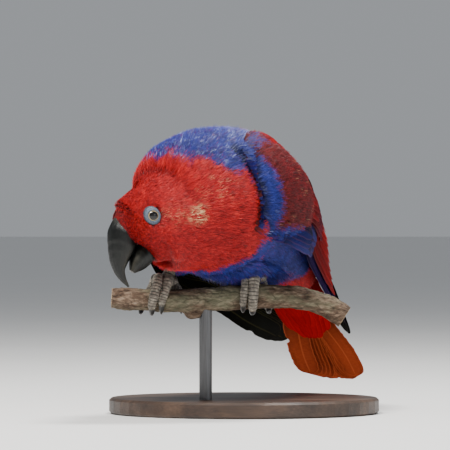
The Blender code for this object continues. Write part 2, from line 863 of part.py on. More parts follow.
def tail_cover(top, thick):
    """Coverts over or under the tail's root, in two tiers."""
    pieces = []
    sign = 1.0 if top else -1.0
    tiers = ((4, -0.018, 0.036, 0.0080, 0.0074), (3, -0.026, 0.016, 0.0075, 0.0092))
    if not top:
        tiers = ((4, -0.020, 0.050, 0.0090, 0.0080), (3, -0.028, 0.026, 0.0085, 0.0100))
    for count, root, tip, width, level in tiers:
        for j in range(count):
            x = -1.0 + 2.0 * j / (count - 1)
            end = tip - 0.010 * x * x

            def middle(a, x=x, width=width):
                return x * width * 1.25 * (1.0 + 3.0 * a)

            def lift(a, root=root, end=end, level=level, x=x):
                rise = smooth((a - root) / (0.5 * (end - root)))
                return sign * (level - 0.0012 + 0.0012 * rise - 0.0014 * x * x
                               + 0.0009 * (j % 2))

            pieces.append(vane(
                tail_surface, stops_between(root, end, 0.030, 0.012),
                middle, lambda a, width=width: width, lambda a, width=width: width,
                lift, lambda a, x=x: -sign * 0.10 * x, covert_shape, thick))
    return pieces


# Feet

def perch_row(x):
    rows = np.array(PERCH_RUN)
    z = np.interp(x, rows[:, 0], rows[:, 1])
    radius = np.interp(x, rows[:, 0], rows[:, 2])
    return float(z), float(radius)


def round_perch(x, degrees, clear):
    """Point at an angle round the perch: 0 on top, 90 in front, -90 behind."""
    z, radius = perch_row(x)
    angle = math.radians(degrees)
    return perch_point((x, -math.sin(angle) * (radius + clear), z + math.cos(angle) * (radius + clear)))


def toe_line(x0, x1, sweep, scale):
    steps = 6
    points, radii = [], []
    for j in range(steps):
        u = j / (steps - 1)
        thickness = TOE_RADIUS * scale * (1.08 - 0.26 * u)
        if j in (1, 3):
            thickness *= 1.07
        if j == steps - 1:
            thickness *= 0.80
        start = 8.0 if sweep > 0 else -8.0
        degrees = start + (sweep - start) * u
        x = x0 + (x1 - x0) * smooth(u)
        points.append(round_perch(x, degrees, thickness + 1.3 * GAP + 0.0034 * (1.0 - u) ** 2))
        radii.append(thickness)
    return points, radii


def claw_line(x0, x1, sweep, scale):
    steps = 5
    points, radii = [], []
    hand = 1.0 if sweep > 0 else -1.0
    for j in range(steps):
        u = j / (steps - 1)
        z, radius = perch_row(x1)
        degrees = sweep + hand * (3.8 + u * math.degrees(CLAW_LENGTH * scale / (radius + 0.003)))
        thickness = TOE_RADIUS * scale * 0.62 * (1.0 - 0.86 * u)
        clear = 0.0026 * scale - 0.0009 * u + 0.0004
        points.append(round_perch(x1 + (x1 - x0) * 0.10 * u, degrees, clear))
        radii.append(thickness)
    return points, radii


def foot(side):
    """Bare shank, sole and four toes, two in front of the perch and two behind."""
    data = FEET[side]
    z, radius = perch_row(data["x"])
    top = perch_point((data["x"], 0.001, z + radius))
    hip = perch_point(data["thigh"])
    name = "foot_" + side
    ankle = top + (hip - top) * 0.75
    shank = tube(name, [top + np.array((0, 0, 0.0050)), top + (hip - top) * 0.45, ankle],
                 [0.0043, 0.0038, 0.0040], 10, "foot_skin")
    pad = ball("pad", top + np.array((0, -0.0005, 0.0052)), (0.0084, 0.0066, 0.0044), None, CUTTERS)
    pieces = [pad]
    for label, x0, x1, sweep, scale in data["toes"]:
        points, radii = toe_line(x0, x1, sweep, scale)
        pieces.append(tube("toe", points, radii, 7, None, CUTTERS))
    return shank, pieces


def claws(side):
    for label, x0, x1, sweep, scale in FEET[side]["toes"]:
        points, radii = claw_line(x0, x1, sweep, scale)
        made = tube("claw_" + side + "_" + label, points, radii, 7, "claw_horn")
        round_shading(made)


def thigh(side, look, grow=0.0, home=None, name=None):
    data = FEET[side]
    radii = tuple(r + grow for r in THIGH_RADII)
    return ball(name or "thigh_" + side, perch_point(data["thigh"]), radii, look, home)


# Perch and stand

def perch_mesh(name, grow, look, home=None):
    rows = PERCH_RUN
    curve = bpy.data.curves.new(name + "_run", "CURVE")
    curve.dimensions = "3D"
    curve.bevel_depth = 1.0
    curve.bevel_resolution = 3
    curve.use_fill_caps = True
    spline = curve.splines.new("POLY")
    count = 15
    spline.points.add(count - 1)
    line = Line([(r[0], 0.0, r[1], r[2]) for r in rows])
    for i in range(count):
        row = line(line.length * i / (count - 1))
        p = perch_point((row[0], 0.0012 * math.sin(1.7 + 90.0 * row[0]), row[2]))
        wave = 1.0 + 0.035 * math.sin(300.0 * row[0] + 0.5)
        spline.points[i].co = (*p, 1.0)
        spline.points[i].radius = row[3] * wave + grow
    made = bpy.data.objects.new(name + "_curve", curve)
    CUTTERS.objects.link(made)
    mesh = frozen(made)
    bpy.data.objects.remove(made, do_unlink=True)
    bpy.data.curves.remove(curve)
    work = bmesh.new()
    work.from_mesh(mesh)
    bmesh.ops.remove_doubles(work, verts=work.verts, dist=1e-6)
    bmesh.ops.recalc_face_normals(work, faces=work.faces)
    work.to_mesh(mesh)
    work.free()
    made = bpy.data.objects.new(name, mesh)
    (home or PARTS).objects.link(made)
    mesh.materials.clear()
    if look:
        mesh.materials.append(material(look))
    knob = ball(name + "_knob", perch_point(KNOB), (KNOB[3] + grow,) * 3, None, CUTTERS)
    join(made, [knob], look=look)
    return made


def stand():
    bpy.ops.mesh.primitive_cylinder_add(vertices=44, radius=BASE_RADIUS, depth=BASE_HEIGHT,
                                        location=(0.0, 0.0, BASE_HEIGHT / 2.0))
    base = bpy.context.active_object
    base.name = "stand_base"
    for home in list(base.users_collection):
        home.objects.unlink(base)
    PARTS.objects.link(base)
    edge = base.modifiers.new("edge", "BEVEL")
    edge.width = BASE_EDGE
    edge.segments = 1
    edge.limit_method = "ANGLE"
    base.data.materials.append(material("stand_wood"))
    bottom = BASE_HEIGHT + GAP
    top = PERCH[2]
    bpy.ops.mesh.primitive_cylinder_add(
        vertices=20, radius=ROD_RADIUS, depth=top - bottom,
        location=(PERCH[0] + ROD_X, PERCH[1], 0.5 * (top + bottom)))
    rod = bpy.context.active_object
    rod.name = "stand_rod"
    for home in list(rod.users_collection):
        home.objects.unlink(rod)
    PARTS.objects.link(rod)
    join(rod, cutters=[perch_mesh("perch_clear", GAP, None, CUTTERS)], look="stand_metal")
    round_shading(rod)


# Whole bird

def build():
    clear_scene()
    make_collections()
    grow = 1.3 * GAP

    # Bill and eyes
    upper = bill("bill_upper", UPPER_BILL, 14, "bill_horn")
    lower = bill("bill_lower", LOWER_BILL, 12, "bill_horn")
    join(lower, cutters=[bill("upper_clear", UPPER_BILL, 14, None, grow, CUTTERS)],
         look="bill_horn")
    round_shading(upper)
    round_shading(lower)

    # Head, with lids round each eye
    def eye_centre(hand, inset):
        row = SPINE_LINE(SPINE_LINE.at[9] + EYE_FORWARD)
        width = row[3] * math.sqrt(1.0 - (EYE_UP / row[4]) ** 2)
        return head_point(EYE_FORWARD, hand * (width - inset), EYE_UP)

    head = body_piece("head", "red_feathers", nose=0.0012)
    lids, sockets = [], []
    forward, left, up = head_axes()
    for hand, label in ((1.0, "left"), (-1.0, "right")):
        centre = eye_centre(hand, 0.0037)
        ball("eye_" + label, centre, (EYE_RADIUS,) * 3, "eye_gloss")
        sockets.append(ball("socket_" + label, centre, (EYE_RADIUS + grow,) * 3, None, CUTTERS))
        out = left * hand
        rim = centre + out * math.sqrt(EYE_RADIUS ** 2 - EYE_OPENING ** 2) * 1.02
        rings = []
        for i in range(12):
            angle = 2.0 * math.pi * i / 12
            radial = forward * math.cos(angle) * 0.95 + up * math.sin(angle) * 1.08
            ring = []
            for j in range(5):
                turn = 2.0 * math.pi * j / 5
                ring.append(rim + radial * (LID_RING + LID_TUBE * math.cos(turn))
                            + out * LID_TUBE * math.sin(turn))
            rings.append(ring)
        points = [p for ring in rings for p in ring]
        faces = []
        for i in range(12):
            for j in range(5):
                a = i * 5 + j
                b = i * 5 + (j + 1) % 5
                c = ((i + 1) % 12) * 5 + (j + 1) % 5
                d = ((i + 1) % 12) * 5 + j
                faces.append((a, b, c))
                faces.append((a, c, d))
        lids.append(mesh_object("lid_" + label, points, faces, None, CUTTERS))
    join(head, lids, sockets + [
        bill("upper_clear", UPPER_BILL, 14, None, grow, CUTTERS),
        bill("lower_clear", LOWER_BILL, 12, None, grow, CUTTERS),
        bill("mouth_clear", MOUTH, 16, None, 0.0, CUTTERS)], look="red_feathers")
    round_shading(head)

    # Neck, torso and rump
    for length, look in (("neck", "red_feathers"), ("torso", "blue_feathers")):
        made = body_piece(length, look)
        join(made, cutters=[thigh(side, None, grow, CUTTERS, "thigh_clear")
                            for side in ("left", "right")], look=look)
        round_shading(made)

    # Tail, and the rump with the coverts over and under the tail's root
    feathered(tail, list, "tail_feathers")

    def rump(thick):
        return body_piece("rump", None), tail_cover(True, thick) + tail_cover(False, thick)

    round_shading(feathered(rump, list, "red_feathers"))

    # Legs
    for side in ("left", "right"):
        made = thigh(side, "blue_feathers")
        round_shading(made)
        shank, pieces = foot(side)
        cutters = body_clear(("torso", "neck"), grow)
        cutters.append(thigh(side, None, grow, CUTTERS, "thigh_clear"))
        cutters.append(perch_mesh("perch_clear", GAP, None, CUTTERS))
        join(shank, pieces, cutters, look="foot_skin")
        round_shading(shank)
        claws(side)

    # Wings, cut clear of the body
    for side in ("left", "right"):
        made = feathered(lambda thick: wing(side, thick),
                         lambda: body_clear(("rump", "torso", "neck"), grow), "maroon_feathers")
        round_shading(made)

    # Perch and stand
    made = perch_mesh("perch_branch", 0.0, "bark")
    round_shading(made)
    stand()


build()
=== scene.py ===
"""Looks of the perched female eclectus parrot: skin, plumage, bill, eyes, feet, branch, stand."""

import math

import bpy
import numpy as np
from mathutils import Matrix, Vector
from mathutils.bvhtree import BVHTree


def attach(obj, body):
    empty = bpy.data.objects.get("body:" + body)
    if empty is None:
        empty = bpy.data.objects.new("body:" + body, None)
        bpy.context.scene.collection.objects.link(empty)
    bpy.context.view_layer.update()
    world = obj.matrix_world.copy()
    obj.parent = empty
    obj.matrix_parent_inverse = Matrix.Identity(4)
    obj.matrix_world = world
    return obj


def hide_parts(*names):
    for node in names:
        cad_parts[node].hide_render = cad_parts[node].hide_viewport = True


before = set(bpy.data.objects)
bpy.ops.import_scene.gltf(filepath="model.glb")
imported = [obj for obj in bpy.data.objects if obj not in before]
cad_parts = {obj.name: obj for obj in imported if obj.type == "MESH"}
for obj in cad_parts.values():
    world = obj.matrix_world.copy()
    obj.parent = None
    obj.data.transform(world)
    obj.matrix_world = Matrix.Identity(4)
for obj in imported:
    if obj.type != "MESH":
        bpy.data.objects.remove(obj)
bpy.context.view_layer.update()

# Named sizes, in metres, as in the part's source

PERCH = np.array((-0.012, -0.040, 0.072))
PERCH_RUN = (
    (-0.0700, 0.0012, 0.0064),
    (-0.0465, 0.0000, 0.0068),
    (-0.0270, -0.0005, 0.0073),
    (-0.0120, 0.0002, 0.0074),
    (0.0093, 0.0016, 0.0076),
    (0.0300, 0.0022, 0.0072),
    (0.0500, 0.0005, 0.0068),
    (0.0640, -0.0042, 0.0068),
    (0.0740, -0.0105, 0.0070),
)
# Knob under the branch: its middle from the perch
KNOB = (-0.0192, 0.0015, -0.0048)
# Bark: height, stretch along the branch, size and seed of each ripple
BARK_RIPPLES = ((0.00030, 0.5, 0.0070, 11), (0.00016, 0.5, 0.0026, 12), (0.00008, 0.6, 0.0011, 13))

# Body from the tail root to the bill root: x, y, z, half width, height above, depth below,
# forward lean above and below
SPINE = (
    (0.0435, 0.1020, 0.0070, 0.0120, 0.0080, 0.0080, 0.00, 0.00),
    (0.0380, 0.0840, 0.0190, 0.0215, 0.0185, 0.0190, 0.00, 0.00),
    (0.0280, 0.0540, 0.0380, 0.0280, 0.0330, 0.0330, 0.00, 0.00),
    (0.0160, 0.0260, 0.0520, 0.0360, 0.0420, 0.0410, 0.00, 0.00),
    (0.0020, 0.0000, 0.0600, 0.0420, 0.0460, 0.0450, 0.00, 0.00),
    (-0.0120, -0.0220, 0.0600, 0.0450, 0.0430, 0.0440, 0.00, 0.00),
    (-0.0250, -0.0390, 0.0560, 0.0380, 0.0370, 0.0400, 0.00, 0.00),
    (-0.0345, -0.0485, 0.0515, 0.0295, 0.0290, 0.0345, 0.00, 0.00),
    (-0.0416, -0.0542, 0.0490, 0.0230, 0.0245, 0.0290, 0.00, 0.00),
    (-0.0480, -0.0560, 0.0450, 0.0195, 0.0235, 0.0252, 0.05, 0.05),
    (-0.0536, -0.0575, 0.0411, 0.0172, 0.0215, 0.0208, 0.18, 0.20),
    (-0.0590, -0.0587, 0.0408, 0.0128, 0.0145, 0.0115, 0.56, 0.85),
    (-0.0624, -0.0594, 0.0407, 0.0088, 0.0082, 0.0066, 0.72, 1.00),
)
SHOULDER = 0.22
LEFT_FALL = 0.12
HEAD = np.array((-0.0480, -0.0560, 0.0450))
HEAD_FORWARD = (-0.80, -0.22, -0.56)

# Bill in the head frame: forward, up, half depth, half width
UPPER_BILL = (
    (0.0080, 0.0094, 0.0080, 0.0078),
    (0.0140, 0.0050, 0.0093, 0.0094),
    (0.0180, 0.0002, 0.0089, 0.0090),
    (0.0220, -0.0038, 0.0075, 0.0078),
    (0.0257, -0.0079, 0.0056, 0.0062),
    (0.0283, -0.0122, 0.0036, 0.0045),
    (0.0293, -0.0178, 0.0020, 0.0027),
    (0.0290, -0.0238, 0.0005, 0.0007),
)
LOWER_BILL = (
    (0.0015, -0.0108, 0.0060, 0.0070),
    (0.0070, -0.0119, 0.0068, 0.0082),
    (0.0130, -0.0138, 0.0065, 0.0079),
    (0.0183, -0.0157, 0.0047, 0.0060),
    (0.0222, -0.0173, 0.0018, 0.0034),
)
MOUTH = (
    (0.0030, -0.0085, 0.0050, 0.0050),
    (0.0068, -0.0092, 0.0078, 0.0096),
    (0.0120, -0.0100, 0.0090, 0.0170),
    (0.0220, -0.0110, 0.0095, 0.0280),
)
EYE_FORWARD = -0.0035
EYE_UP = 0.0062
EYE_RADIUS = 0.0050
EYE_INSET = 0.0037

TAIL_ROOT = np.array((0.0440, 0.1040, 0.0055))
TAIL_DIRECTION = (0.28, 0.80, -0.50)
TAIL_LENGTH = 0.116

LEFT_WING = (
    ((0.0250, -0.0470, 0.0590), (0.80, -0.60, 0.08), 0.045),
    ((0.0385, -0.0230, 0.0590), (0.87, -0.48, 0.10), 0.047),
    ((0.0480, 0.0070, 0.0525), (0.92, -0.38, 0.12), 0.045),
    ((0.0530, 0.0410, 0.0385), (0.93, -0.33, 0.16), 0.042),
    ((0.0595, 0.0770, 0.0210), (0.93, -0.27, 0.24), 0.042),
    ((0.0665, 0.1120, 0.0035), (0.92, -0.20, 0.34), 0.055),
    ((0.0725, 0.1480, -0.0130), (0.88, -0.12, 0.44), 0.090),
    ((0.0765, 0.1860, -0.0300), (0.84, -0.08, 0.50), 0.120),
)
RIGHT_WING = (
    ((-0.0490, 0.0030, 0.0600), (-0.87, 0.49, 0.05), 0.046),
    ((-0.0430, 0.0190, 0.0470), (-0.89, 0.45, -0.02), 0.048),
    ((-0.0270, 0.0450, 0.0280), (-0.90, 0.42, -0.06), 0.048),
    ((-0.0070, 0.0730, 0.0152), (-0.90, 0.40, 0.00), 0.046),
    ((0.0090, 0.1010, 0.0042), (-0.90, 0.36, 0.10), 0.046),
    ((0.0235, 0.1310, -0.0065), (-0.90, 0.32, 0.20), 0.060),
    ((0.0355, 0.1610, -0.0150), (-0.88, 0.28, 0.30), 0.090),
    ((0.0470, 0.1940, -0.0240), (-0.86, 0.26, 0.38), 0.120),
)
REACH_UP = {"left": 0.002, "right": 0.013}
DRAPE = 0.0006
FOLD = 0.145

TOE_RADIUS = 0.0031
CLAW_LENGTH = 0.0105
FEET = {
    "left": dict(x=0.0180, thigh=(0.0190, 0.0070, 0.0310), toes=(
        ("inner", 0.0132, 0.0112, 122.0, 0.86),
        ("middle", 0.0182, 0.0170, 140.0, 1.06),
        ("outer_hind", 0.0225, 0.0272, -146.0, 0.94),
        ("inner_hind", 0.0145, 0.0125, -100.0, 0.90),
    )),
    "right": dict(x=-0.0375, thigh=(-0.0280, 0.0070, 0.0330), toes=(
        ("inner", -0.0350, -0.0392, 108.0, 0.94),
        ("middle", -0.0410, -0.0452, 122.0, 1.04),
        ("outer_hind", -0.0430, -0.0520, -126.0, 0.94),
        ("inner_hind", -0.0335, -0.0278, -84.0, 1.05),
    )),
}
THIGH_RADII = np.array((0.0120, 0.0140, 0.0170))

FULL_TURN = 6.2832
HANDS = {"left": 1.0, "right": -1.0}
THIGH_CORE = THIGH_RADII - 0.0022

# Markings: distance along the spine where the red hood ends, by the angle round the body
# from the left side over the back, alike on both sides
HOOD_ANGLES = np.radians((-90, -74, -53, -37, -26, -5, 22, 35, 45, 62, 90))
HOOD_ENDS = (0.176, 0.172, 0.160, 0.149, 0.1465, 0.152, 0.155, 0.163, 0.167, 0.174, 0.176)


# Lines and frames

def unit(v):
    v = np.asarray(v, dtype=float)
    return v / np.maximum(1e-12, np.linalg.norm(v, axis=-1, keepdims=True))


def smooth(x):
    x = np.clip(x, 0.0, 1.0)
    return x * x * (3.0 - 2.0 * x)


def ring_turns(count):
    """Angles spaced evenly round a ring."""
    return 2.0 * np.pi * np.arange(count) / count


def alike(*values):
    """Values as arrays of one shape."""
    return np.broadcast_arrays(*(np.asarray(v, float) for v in values))


def stacked(*values):
    """Values side by side in the last axis of one array."""
    return np.stack(alike(*values), axis=-1)


def taken(value, *places):
    """A function's value at the places, or a plain number there."""
    return value(*places) if callable(value) else value + 0.0 * places[0]


def between(table, i, j, k, u, v):
    """Value between rows i and i + 1 and columns j and k of a table."""
    return ((table[i, j] * (1 - v) + table[i, k] * v) * (1 - u)
            + (table[i + 1, j] * (1 - v) + table[i + 1, k] * v) * u)


class Line:
    """Smooth line through rows of numbers, spaced by the distance between their first three."""

    def __init__(self, rows):
        self.rows = np.array(rows, dtype=float)
        steps = np.linalg.norm(np.diff(self.rows[:, :3], axis=0), axis=1)
        self.at = np.concatenate([[0.0], np.cumsum(steps)])
        self.slopes = np.gradient(self.rows, self.at, axis=0)
        self.length = float(self.at[-1])

    def __call__(self, s):
        s = np.asarray(s, dtype=float)
        inside = np.clip(s, 0.0, self.length)
        i = np.clip(np.searchsorted(self.at, inside, side="right") - 1, 0, len(self.at) - 2)
        span = (self.at[i + 1] - self.at[i])[..., None]
        x = (inside - self.at[i])[..., None] / span
        value = ((1.0 + 2.0 * x) * (1.0 - x) ** 2 * self.rows[i]
                 + x * (1.0 - x) ** 2 * span * self.slopes[i]
                 + x * x * (3.0 - 2.0 * x) * self.rows[i + 1]
                 + x * x * (x - 1.0) * span * self.slopes[i + 1])
        value += self.slopes[0] * np.minimum(s, 0.0)[..., None]
        value += self.slopes[-1] * np.maximum(s - self.length, 0.0)[..., None]
        return value

    def direction(self, s):
        step = 0.001
        s = np.asarray(s, dtype=float)
        return unit(self(s + step)[..., :3] - self(s - step)[..., :3])


UP = np.array((0.0, 0.0, 1.0))
SPINE_LINE = Line(SPINE)
BODY_LENGTH = SPINE_LINE.length

HEAD_AHEAD = unit(HEAD_FORWARD)
HEAD_LEFT = unit(np.cross(UP, HEAD_AHEAD))
HEAD_UP = np.cross(HEAD_AHEAD, HEAD_LEFT)
HEAD_MIDDLE = HEAD + PERCH


def head_point(ahead, left, up):
    ahead, left, up = (np.asarray(v, dtype=float)[..., None] for v in (ahead, left, up))
    return HEAD_MIDDLE + HEAD_AHEAD * ahead + HEAD_LEFT * left + HEAD_UP * up


def in_head(points):
    """Points in the head frame: ahead, left and up."""
    rel = points - HEAD_MIDDLE
    return rel @ HEAD_AHEAD, rel @ HEAD_LEFT, rel @ HEAD_UP


# Body surface

def mouth_value(ahead, left, up):
    """Below 1 inside the hollow round the lower bill."""
    rows = np.array(MOUTH)
    middle = np.interp(ahead, rows[:, 0], rows[:, 1])
    deep = np.interp(ahead, rows[:, 0], rows[:, 2])
    wide = np.interp(ahead, rows[:, 0], rows[:, 3])
    value = (left / wide) ** 2 + ((up - middle) / deep) ** 2
    return np.where(ahead < rows[0, 0], 4.0, value)


def hollowed(points):
    """Points of the face inside the mouth's hollow move back onto its wall."""
    ahead, left, up = in_head(points)
    inside = mouth_value(ahead, left, up) < 1.0
    if not inside.any():
        return points
    where = np.nonzero(inside)
    a, l, u = ahead[where], left[where], up[where]
    best = np.full(a.shape, MOUTH[0][0])
    for step in np.linspace(0.0, 1.0, 40):
        f = MOUTH[0][0] + (a - MOUTH[0][0]) * step
        best = np.where(mouth_value(f, l, u) >= 1.0, f, best)
    out = points.copy()
    out[where] = head_point(best, l, u)
    return out


def body_surface(s, angle, grow=0.0):
    """Points of the body at a distance along the spine and an angle round it."""
    s = np.asarray(s, dtype=float)
    row = SPINE_LINE(s)
    forward = SPINE_LINE.direction(s)
    left = unit(np.cross(UP, forward))
    up = np.cross(forward, left)
    c, z = np.cos(angle), np.sin(angle)
    over = z > 0
    power = np.where(over & (c > 0), 1.0,
                     np.where(over, 0.92 - SHOULDER * smooth((s - 0.060) / 0.040), 0.92))
    c = np.sign(c) * np.abs(c) ** power
    c = np.where((c > 0) & over, c * (1.0 - LEFT_FALL * z * smooth((s - 0.050) / 0.050)), c)
    z = np.sign(z) * np.abs(z) ** power
    height = np.where(over, row[..., 4], row[..., 5])
    lean = np.where(over, row[..., 6], row[..., 7])
    rise = (z * (height + grow))[..., None]
    across = (c * (row[..., 3] + grow))[..., None]
    return row[..., :3] + PERCH + left * across + (up + forward * lean[..., None]) * rise


def skin_depth(s):
    """How far the skin lies inside the plumage's outer face: least on the face."""
    return 0.0011 + 0.0019 * smooth((0.205 - s) / 0.035)


SKIN_ROWS, SKIN_TURNS = 441, 288
WIDENING_STEPS, AVERAGING_STEPS = 10, 90


def neighbours(grid):
    """The four neighbours of every place in a table that closes round the body."""
    wide = np.pad(grid, ((1, 1),) + ((0, 0),) * (grid.ndim - 1), mode="edge")
    return wide[:-2], wide[2:], np.roll(grid, 1, axis=1), np.roll(grid, -1, axis=1)


def skin_table():
    """Skin with the mouth's hollow and the nape's fold eased by averaging."""
    ss, ww = np.meshgrid(np.linspace(0.0, BODY_LENGTH, SKIN_ROWS), ring_turns(SKIN_TURNS),
                         indexing="ij")
    raw = body_surface(ss, ww, -skin_depth(ss))
    skin = hollowed(raw)
    near = (np.linalg.norm(skin - raw, axis=-1) > 1e-5).astype(float)
    for turn in range(WIDENING_STEPS):
        near = np.maximum(near, 0.92 * np.maximum.reduce(neighbours(near)))
    near = np.maximum(near, 0.85 * smooth((ss - 0.160) / 0.012))
    for turn in range(AVERAGING_STEPS):
        even = sum(neighbours(skin)) / 4.0
        even[0], even[-1] = skin[0], skin[-1]
        skin = skin + (0.5 * near)[..., None] * (even - skin)
    return skin


SKIN_TABLE = skin_table()


def skin_surface(s, angle):
    s, angle = alike(s, angle)
    x = np.clip(s / BODY_LENGTH, 0.0, 1.0) * (SKIN_ROWS - 1)
    y = (angle / (2.0 * np.pi) % 1.0) * SKIN_TURNS
    i, j = np.minimum(x.astype(int), SKIN_ROWS - 2), y.astype(int) % SKIN_TURNS
    u, v = (x - i)[..., None], (y - np.floor(y))[..., None]
    return between(SKIN_TABLE, i, j, (j + 1) % SKIN_TURNS, u, v)


def body_normals(s, angle):
    """Outward normals and the lie of the coat, towards the tail."""
    ds, da = 0.0009, 0.035
    low, high = np.maximum(s - ds, 0.0), np.minimum(s + ds, BODY_LENGTH)
    along = skin_surface(high, angle) - skin_surface(low, angle)
    across = skin_surface(s, angle + da) - skin_surface(s, angle - da)
    return unit(np.cross(across, along)), unit(-along)


# Meshes

def new_object(name, mesh, ridden=True):
    made = bpy.data.objects.new(name, mesh)
    bpy.context.scene.collection.objects.link(made)
    if ridden:
        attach(made, "root")
    return made


def show(name, mesh, look, slot, *nodes):
    """Piece with its look, in place of the CAD nodes that are named; slot is not used."""
    mesh.materials.append(look)
    made = new_object(name, mesh)
    if nodes:
        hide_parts(*nodes)


def mesh_from(name, points, faces, marks=None, uv=None, smooth_faces=True):
    """Mesh from arrays of points and of faces (one array for each number of corners)."""
    mesh = bpy.data.meshes.new(name)
    points = np.asarray(points, dtype=np.float32).reshape(-1, 3)
    mesh.vertices.add(len(points))
    mesh.vertices.foreach_set("co", points.ravel())
    faces = [np.asarray(f, dtype=np.int32) for f in faces if len(f)]
    loops = np.concatenate([f.ravel() for f in faces])
    sizes = np.concatenate([np.full(len(f), f.shape[1], dtype=np.int32) for f in faces])
    starts = np.concatenate([[0], np.cumsum(sizes)[:-1]]).astype(np.int32)
    mesh.loops.add(len(loops))
    mesh.loops.foreach_set("vertex_index", loops)
    mesh.polygons.add(len(sizes))
    mesh.polygons.foreach_set("loop_start", starts)
    mesh.update(calc_edges=True)
    for label, values in (marks or {}).items():
        layer = mesh.attributes.new(label, "FLOAT_VECTOR", "POINT")
        layer.data.foreach_set("vector", np.asarray(values, dtype=np.float32).ravel())
    if uv is not None:
        layer = mesh.uv_layers.new(name="OFBake")
        layer.data.foreach_set("uv", np.asarray(uv, dtype=np.float32)[loops].ravel())
    if smooth_faces:
        mesh.polygons.foreach_set("use_smooth", np.ones(len(sizes), dtype=bool))
    mesh.update()
    return mesh


def grid_faces(rows, columns, closed=False, offset=0):
    """Quads between rows of points; closed joins the last column to the first."""
    j, i = np.meshgrid(np.arange(rows - 1), np.arange(columns if closed else columns - 1),
                       indexing="ij")
    k = (i + 1) % columns
    quads = np.stack([j * columns + i, j * columns + k, (j + 1) * columns + k,
                      (j + 1) * columns + i], axis=-1).reshape(-1, 4)
    return quads + offset


def tube_rings(path, radii, sides, squash=1.0):
    """Rings round a path of points, without twist."""
    path = np.asarray(path, dtype=float)
    w = ring_turns(sides)[:, None]
    rings, normal = [], None
    for place, radius, a in zip(path, radii, unit(np.gradient(path, axis=0))):
        if normal is None:
            guess = np.array((1.0, 0.0, 0.0)) if abs(a[0]) < 0.8 else UP
            normal = unit(guess - a * guess.dot(a))
        normal = unit(normal - a * normal.dot(a))
        side = np.cross(a, normal)
        rings.append(place + radius * (np.cos(w) * normal + squash * np.sin(w) * side))
    return np.array(rings)


def closed_tube(rings):
    """Points and faces of a tube of rings with closed ends."""
    rows, sides = rings.shape[:2]
    points = np.concatenate([rings.reshape(-1, 3), rings[0].mean(axis=0)[None],
                             rings[-1].mean(axis=0)[None]])
    quads = grid_faces(rows, sides, True)
    i = np.arange(sides)
    k = (i + 1) % sides
    start, end = rows * sides, rows * sides + 1
    caps = np.concatenate([np.stack([k, i, np.full(sides, start)], axis=1),
                           np.stack([(rows - 1) * sides + i, (rows - 1) * sides + k,
                                     np.full(sides, end)], axis=1)])
    return points, quads, caps


def with_ends(values):
    """Values of a tube's rings, then those of its two closing points."""
    return np.concatenate([values, values[:1], values[-1:]])


def ball_rings(rows, sides, end):
    """Angles from the top and round, and the rings of a ball of radius 1."""
    polar, w = np.linspace(end, math.pi - end, rows)[:, None], ring_turns(sides)
    return polar, w, stacked(np.sin(polar) * np.cos(w), np.sin(polar) * np.sin(w), np.cos(polar))


class Joined:
    """Closed tubes gathered into one mesh."""

    def __init__(self):
        self.parts, self.count = [], 0

    def add(self, rings, marks, uv=None, turn=1):
        points, quads, caps = closed_tube(rings)
        self.parts.append((points, quads[:, ::turn] + self.count, caps[:, ::turn] + self.count,
                           marks, uv))
        self.count += len(points)

    def mesh(self, name, label):
        points, quads, caps, marks, uv = zip(*self.parts)
        return mesh_from(name, np.concatenate(points),
                         [np.concatenate(quads), np.concatenate(caps)],
                         {label: np.concatenate(marks)},
                         None if uv[0] is None else np.concatenate(uv))


# Spreading roots over the skin

CELLS = 160
EVEN_STEPS = (0.7548776662466927, 0.5698402909980532)


def spread(count, s_range, turn_range, seed):
    """Places spread evenly over the skin, as distances along and angles round it."""
    s_edges = np.linspace(*s_range, CELLS + 1)
    a_edges = np.linspace(*turn_range, CELLS + 1)
    ss, aa = np.meshgrid(0.5 * (s_edges[1:] + s_edges[:-1]), 0.5 * (a_edges[1:] + a_edges[:-1]),
                         indexing="ij")
    ds, da = s_edges[1] - s_edges[0], a_edges[1] - a_edges[0]
    d1 = skin_surface(ss + 0.5 * ds, aa) - skin_surface(ss - 0.5 * ds, aa)
    d2 = skin_surface(ss, aa + 0.5 * da) - skin_surface(ss, aa - 0.5 * da)
    area = np.linalg.norm(np.cross(d1, d2), axis=-1)
    rows = np.concatenate([[0.0], np.cumsum(area.sum(axis=1))]) / area.sum()
    rng = np.random.default_rng(seed)
    u, v = ((0.5 + np.arange(count) * step + 0.15 * rng.random(count) / math.sqrt(count)) % 1.0
            for step in EVEN_STEPS)
    j = np.clip(np.searchsorted(rows, u, side="right") - 1, 0, CELLS - 1)
    s = s_edges[j] + (u - rows[j]) / np.maximum(1e-12, rows[j + 1] - rows[j]) * ds
    across = np.concatenate([np.zeros((CELLS, 1)), np.cumsum(area, axis=1)], axis=1)
    across /= np.maximum(1e-15, across[:, -1:])
    angle = np.empty(count)
    for row in range(CELLS):
        mine = j == row
        angle[mine] = np.interp(v[mine], across[row], a_edges)
    return s, angle


# Plumage of fine barbs

BAKE_PATCH = 0.0015


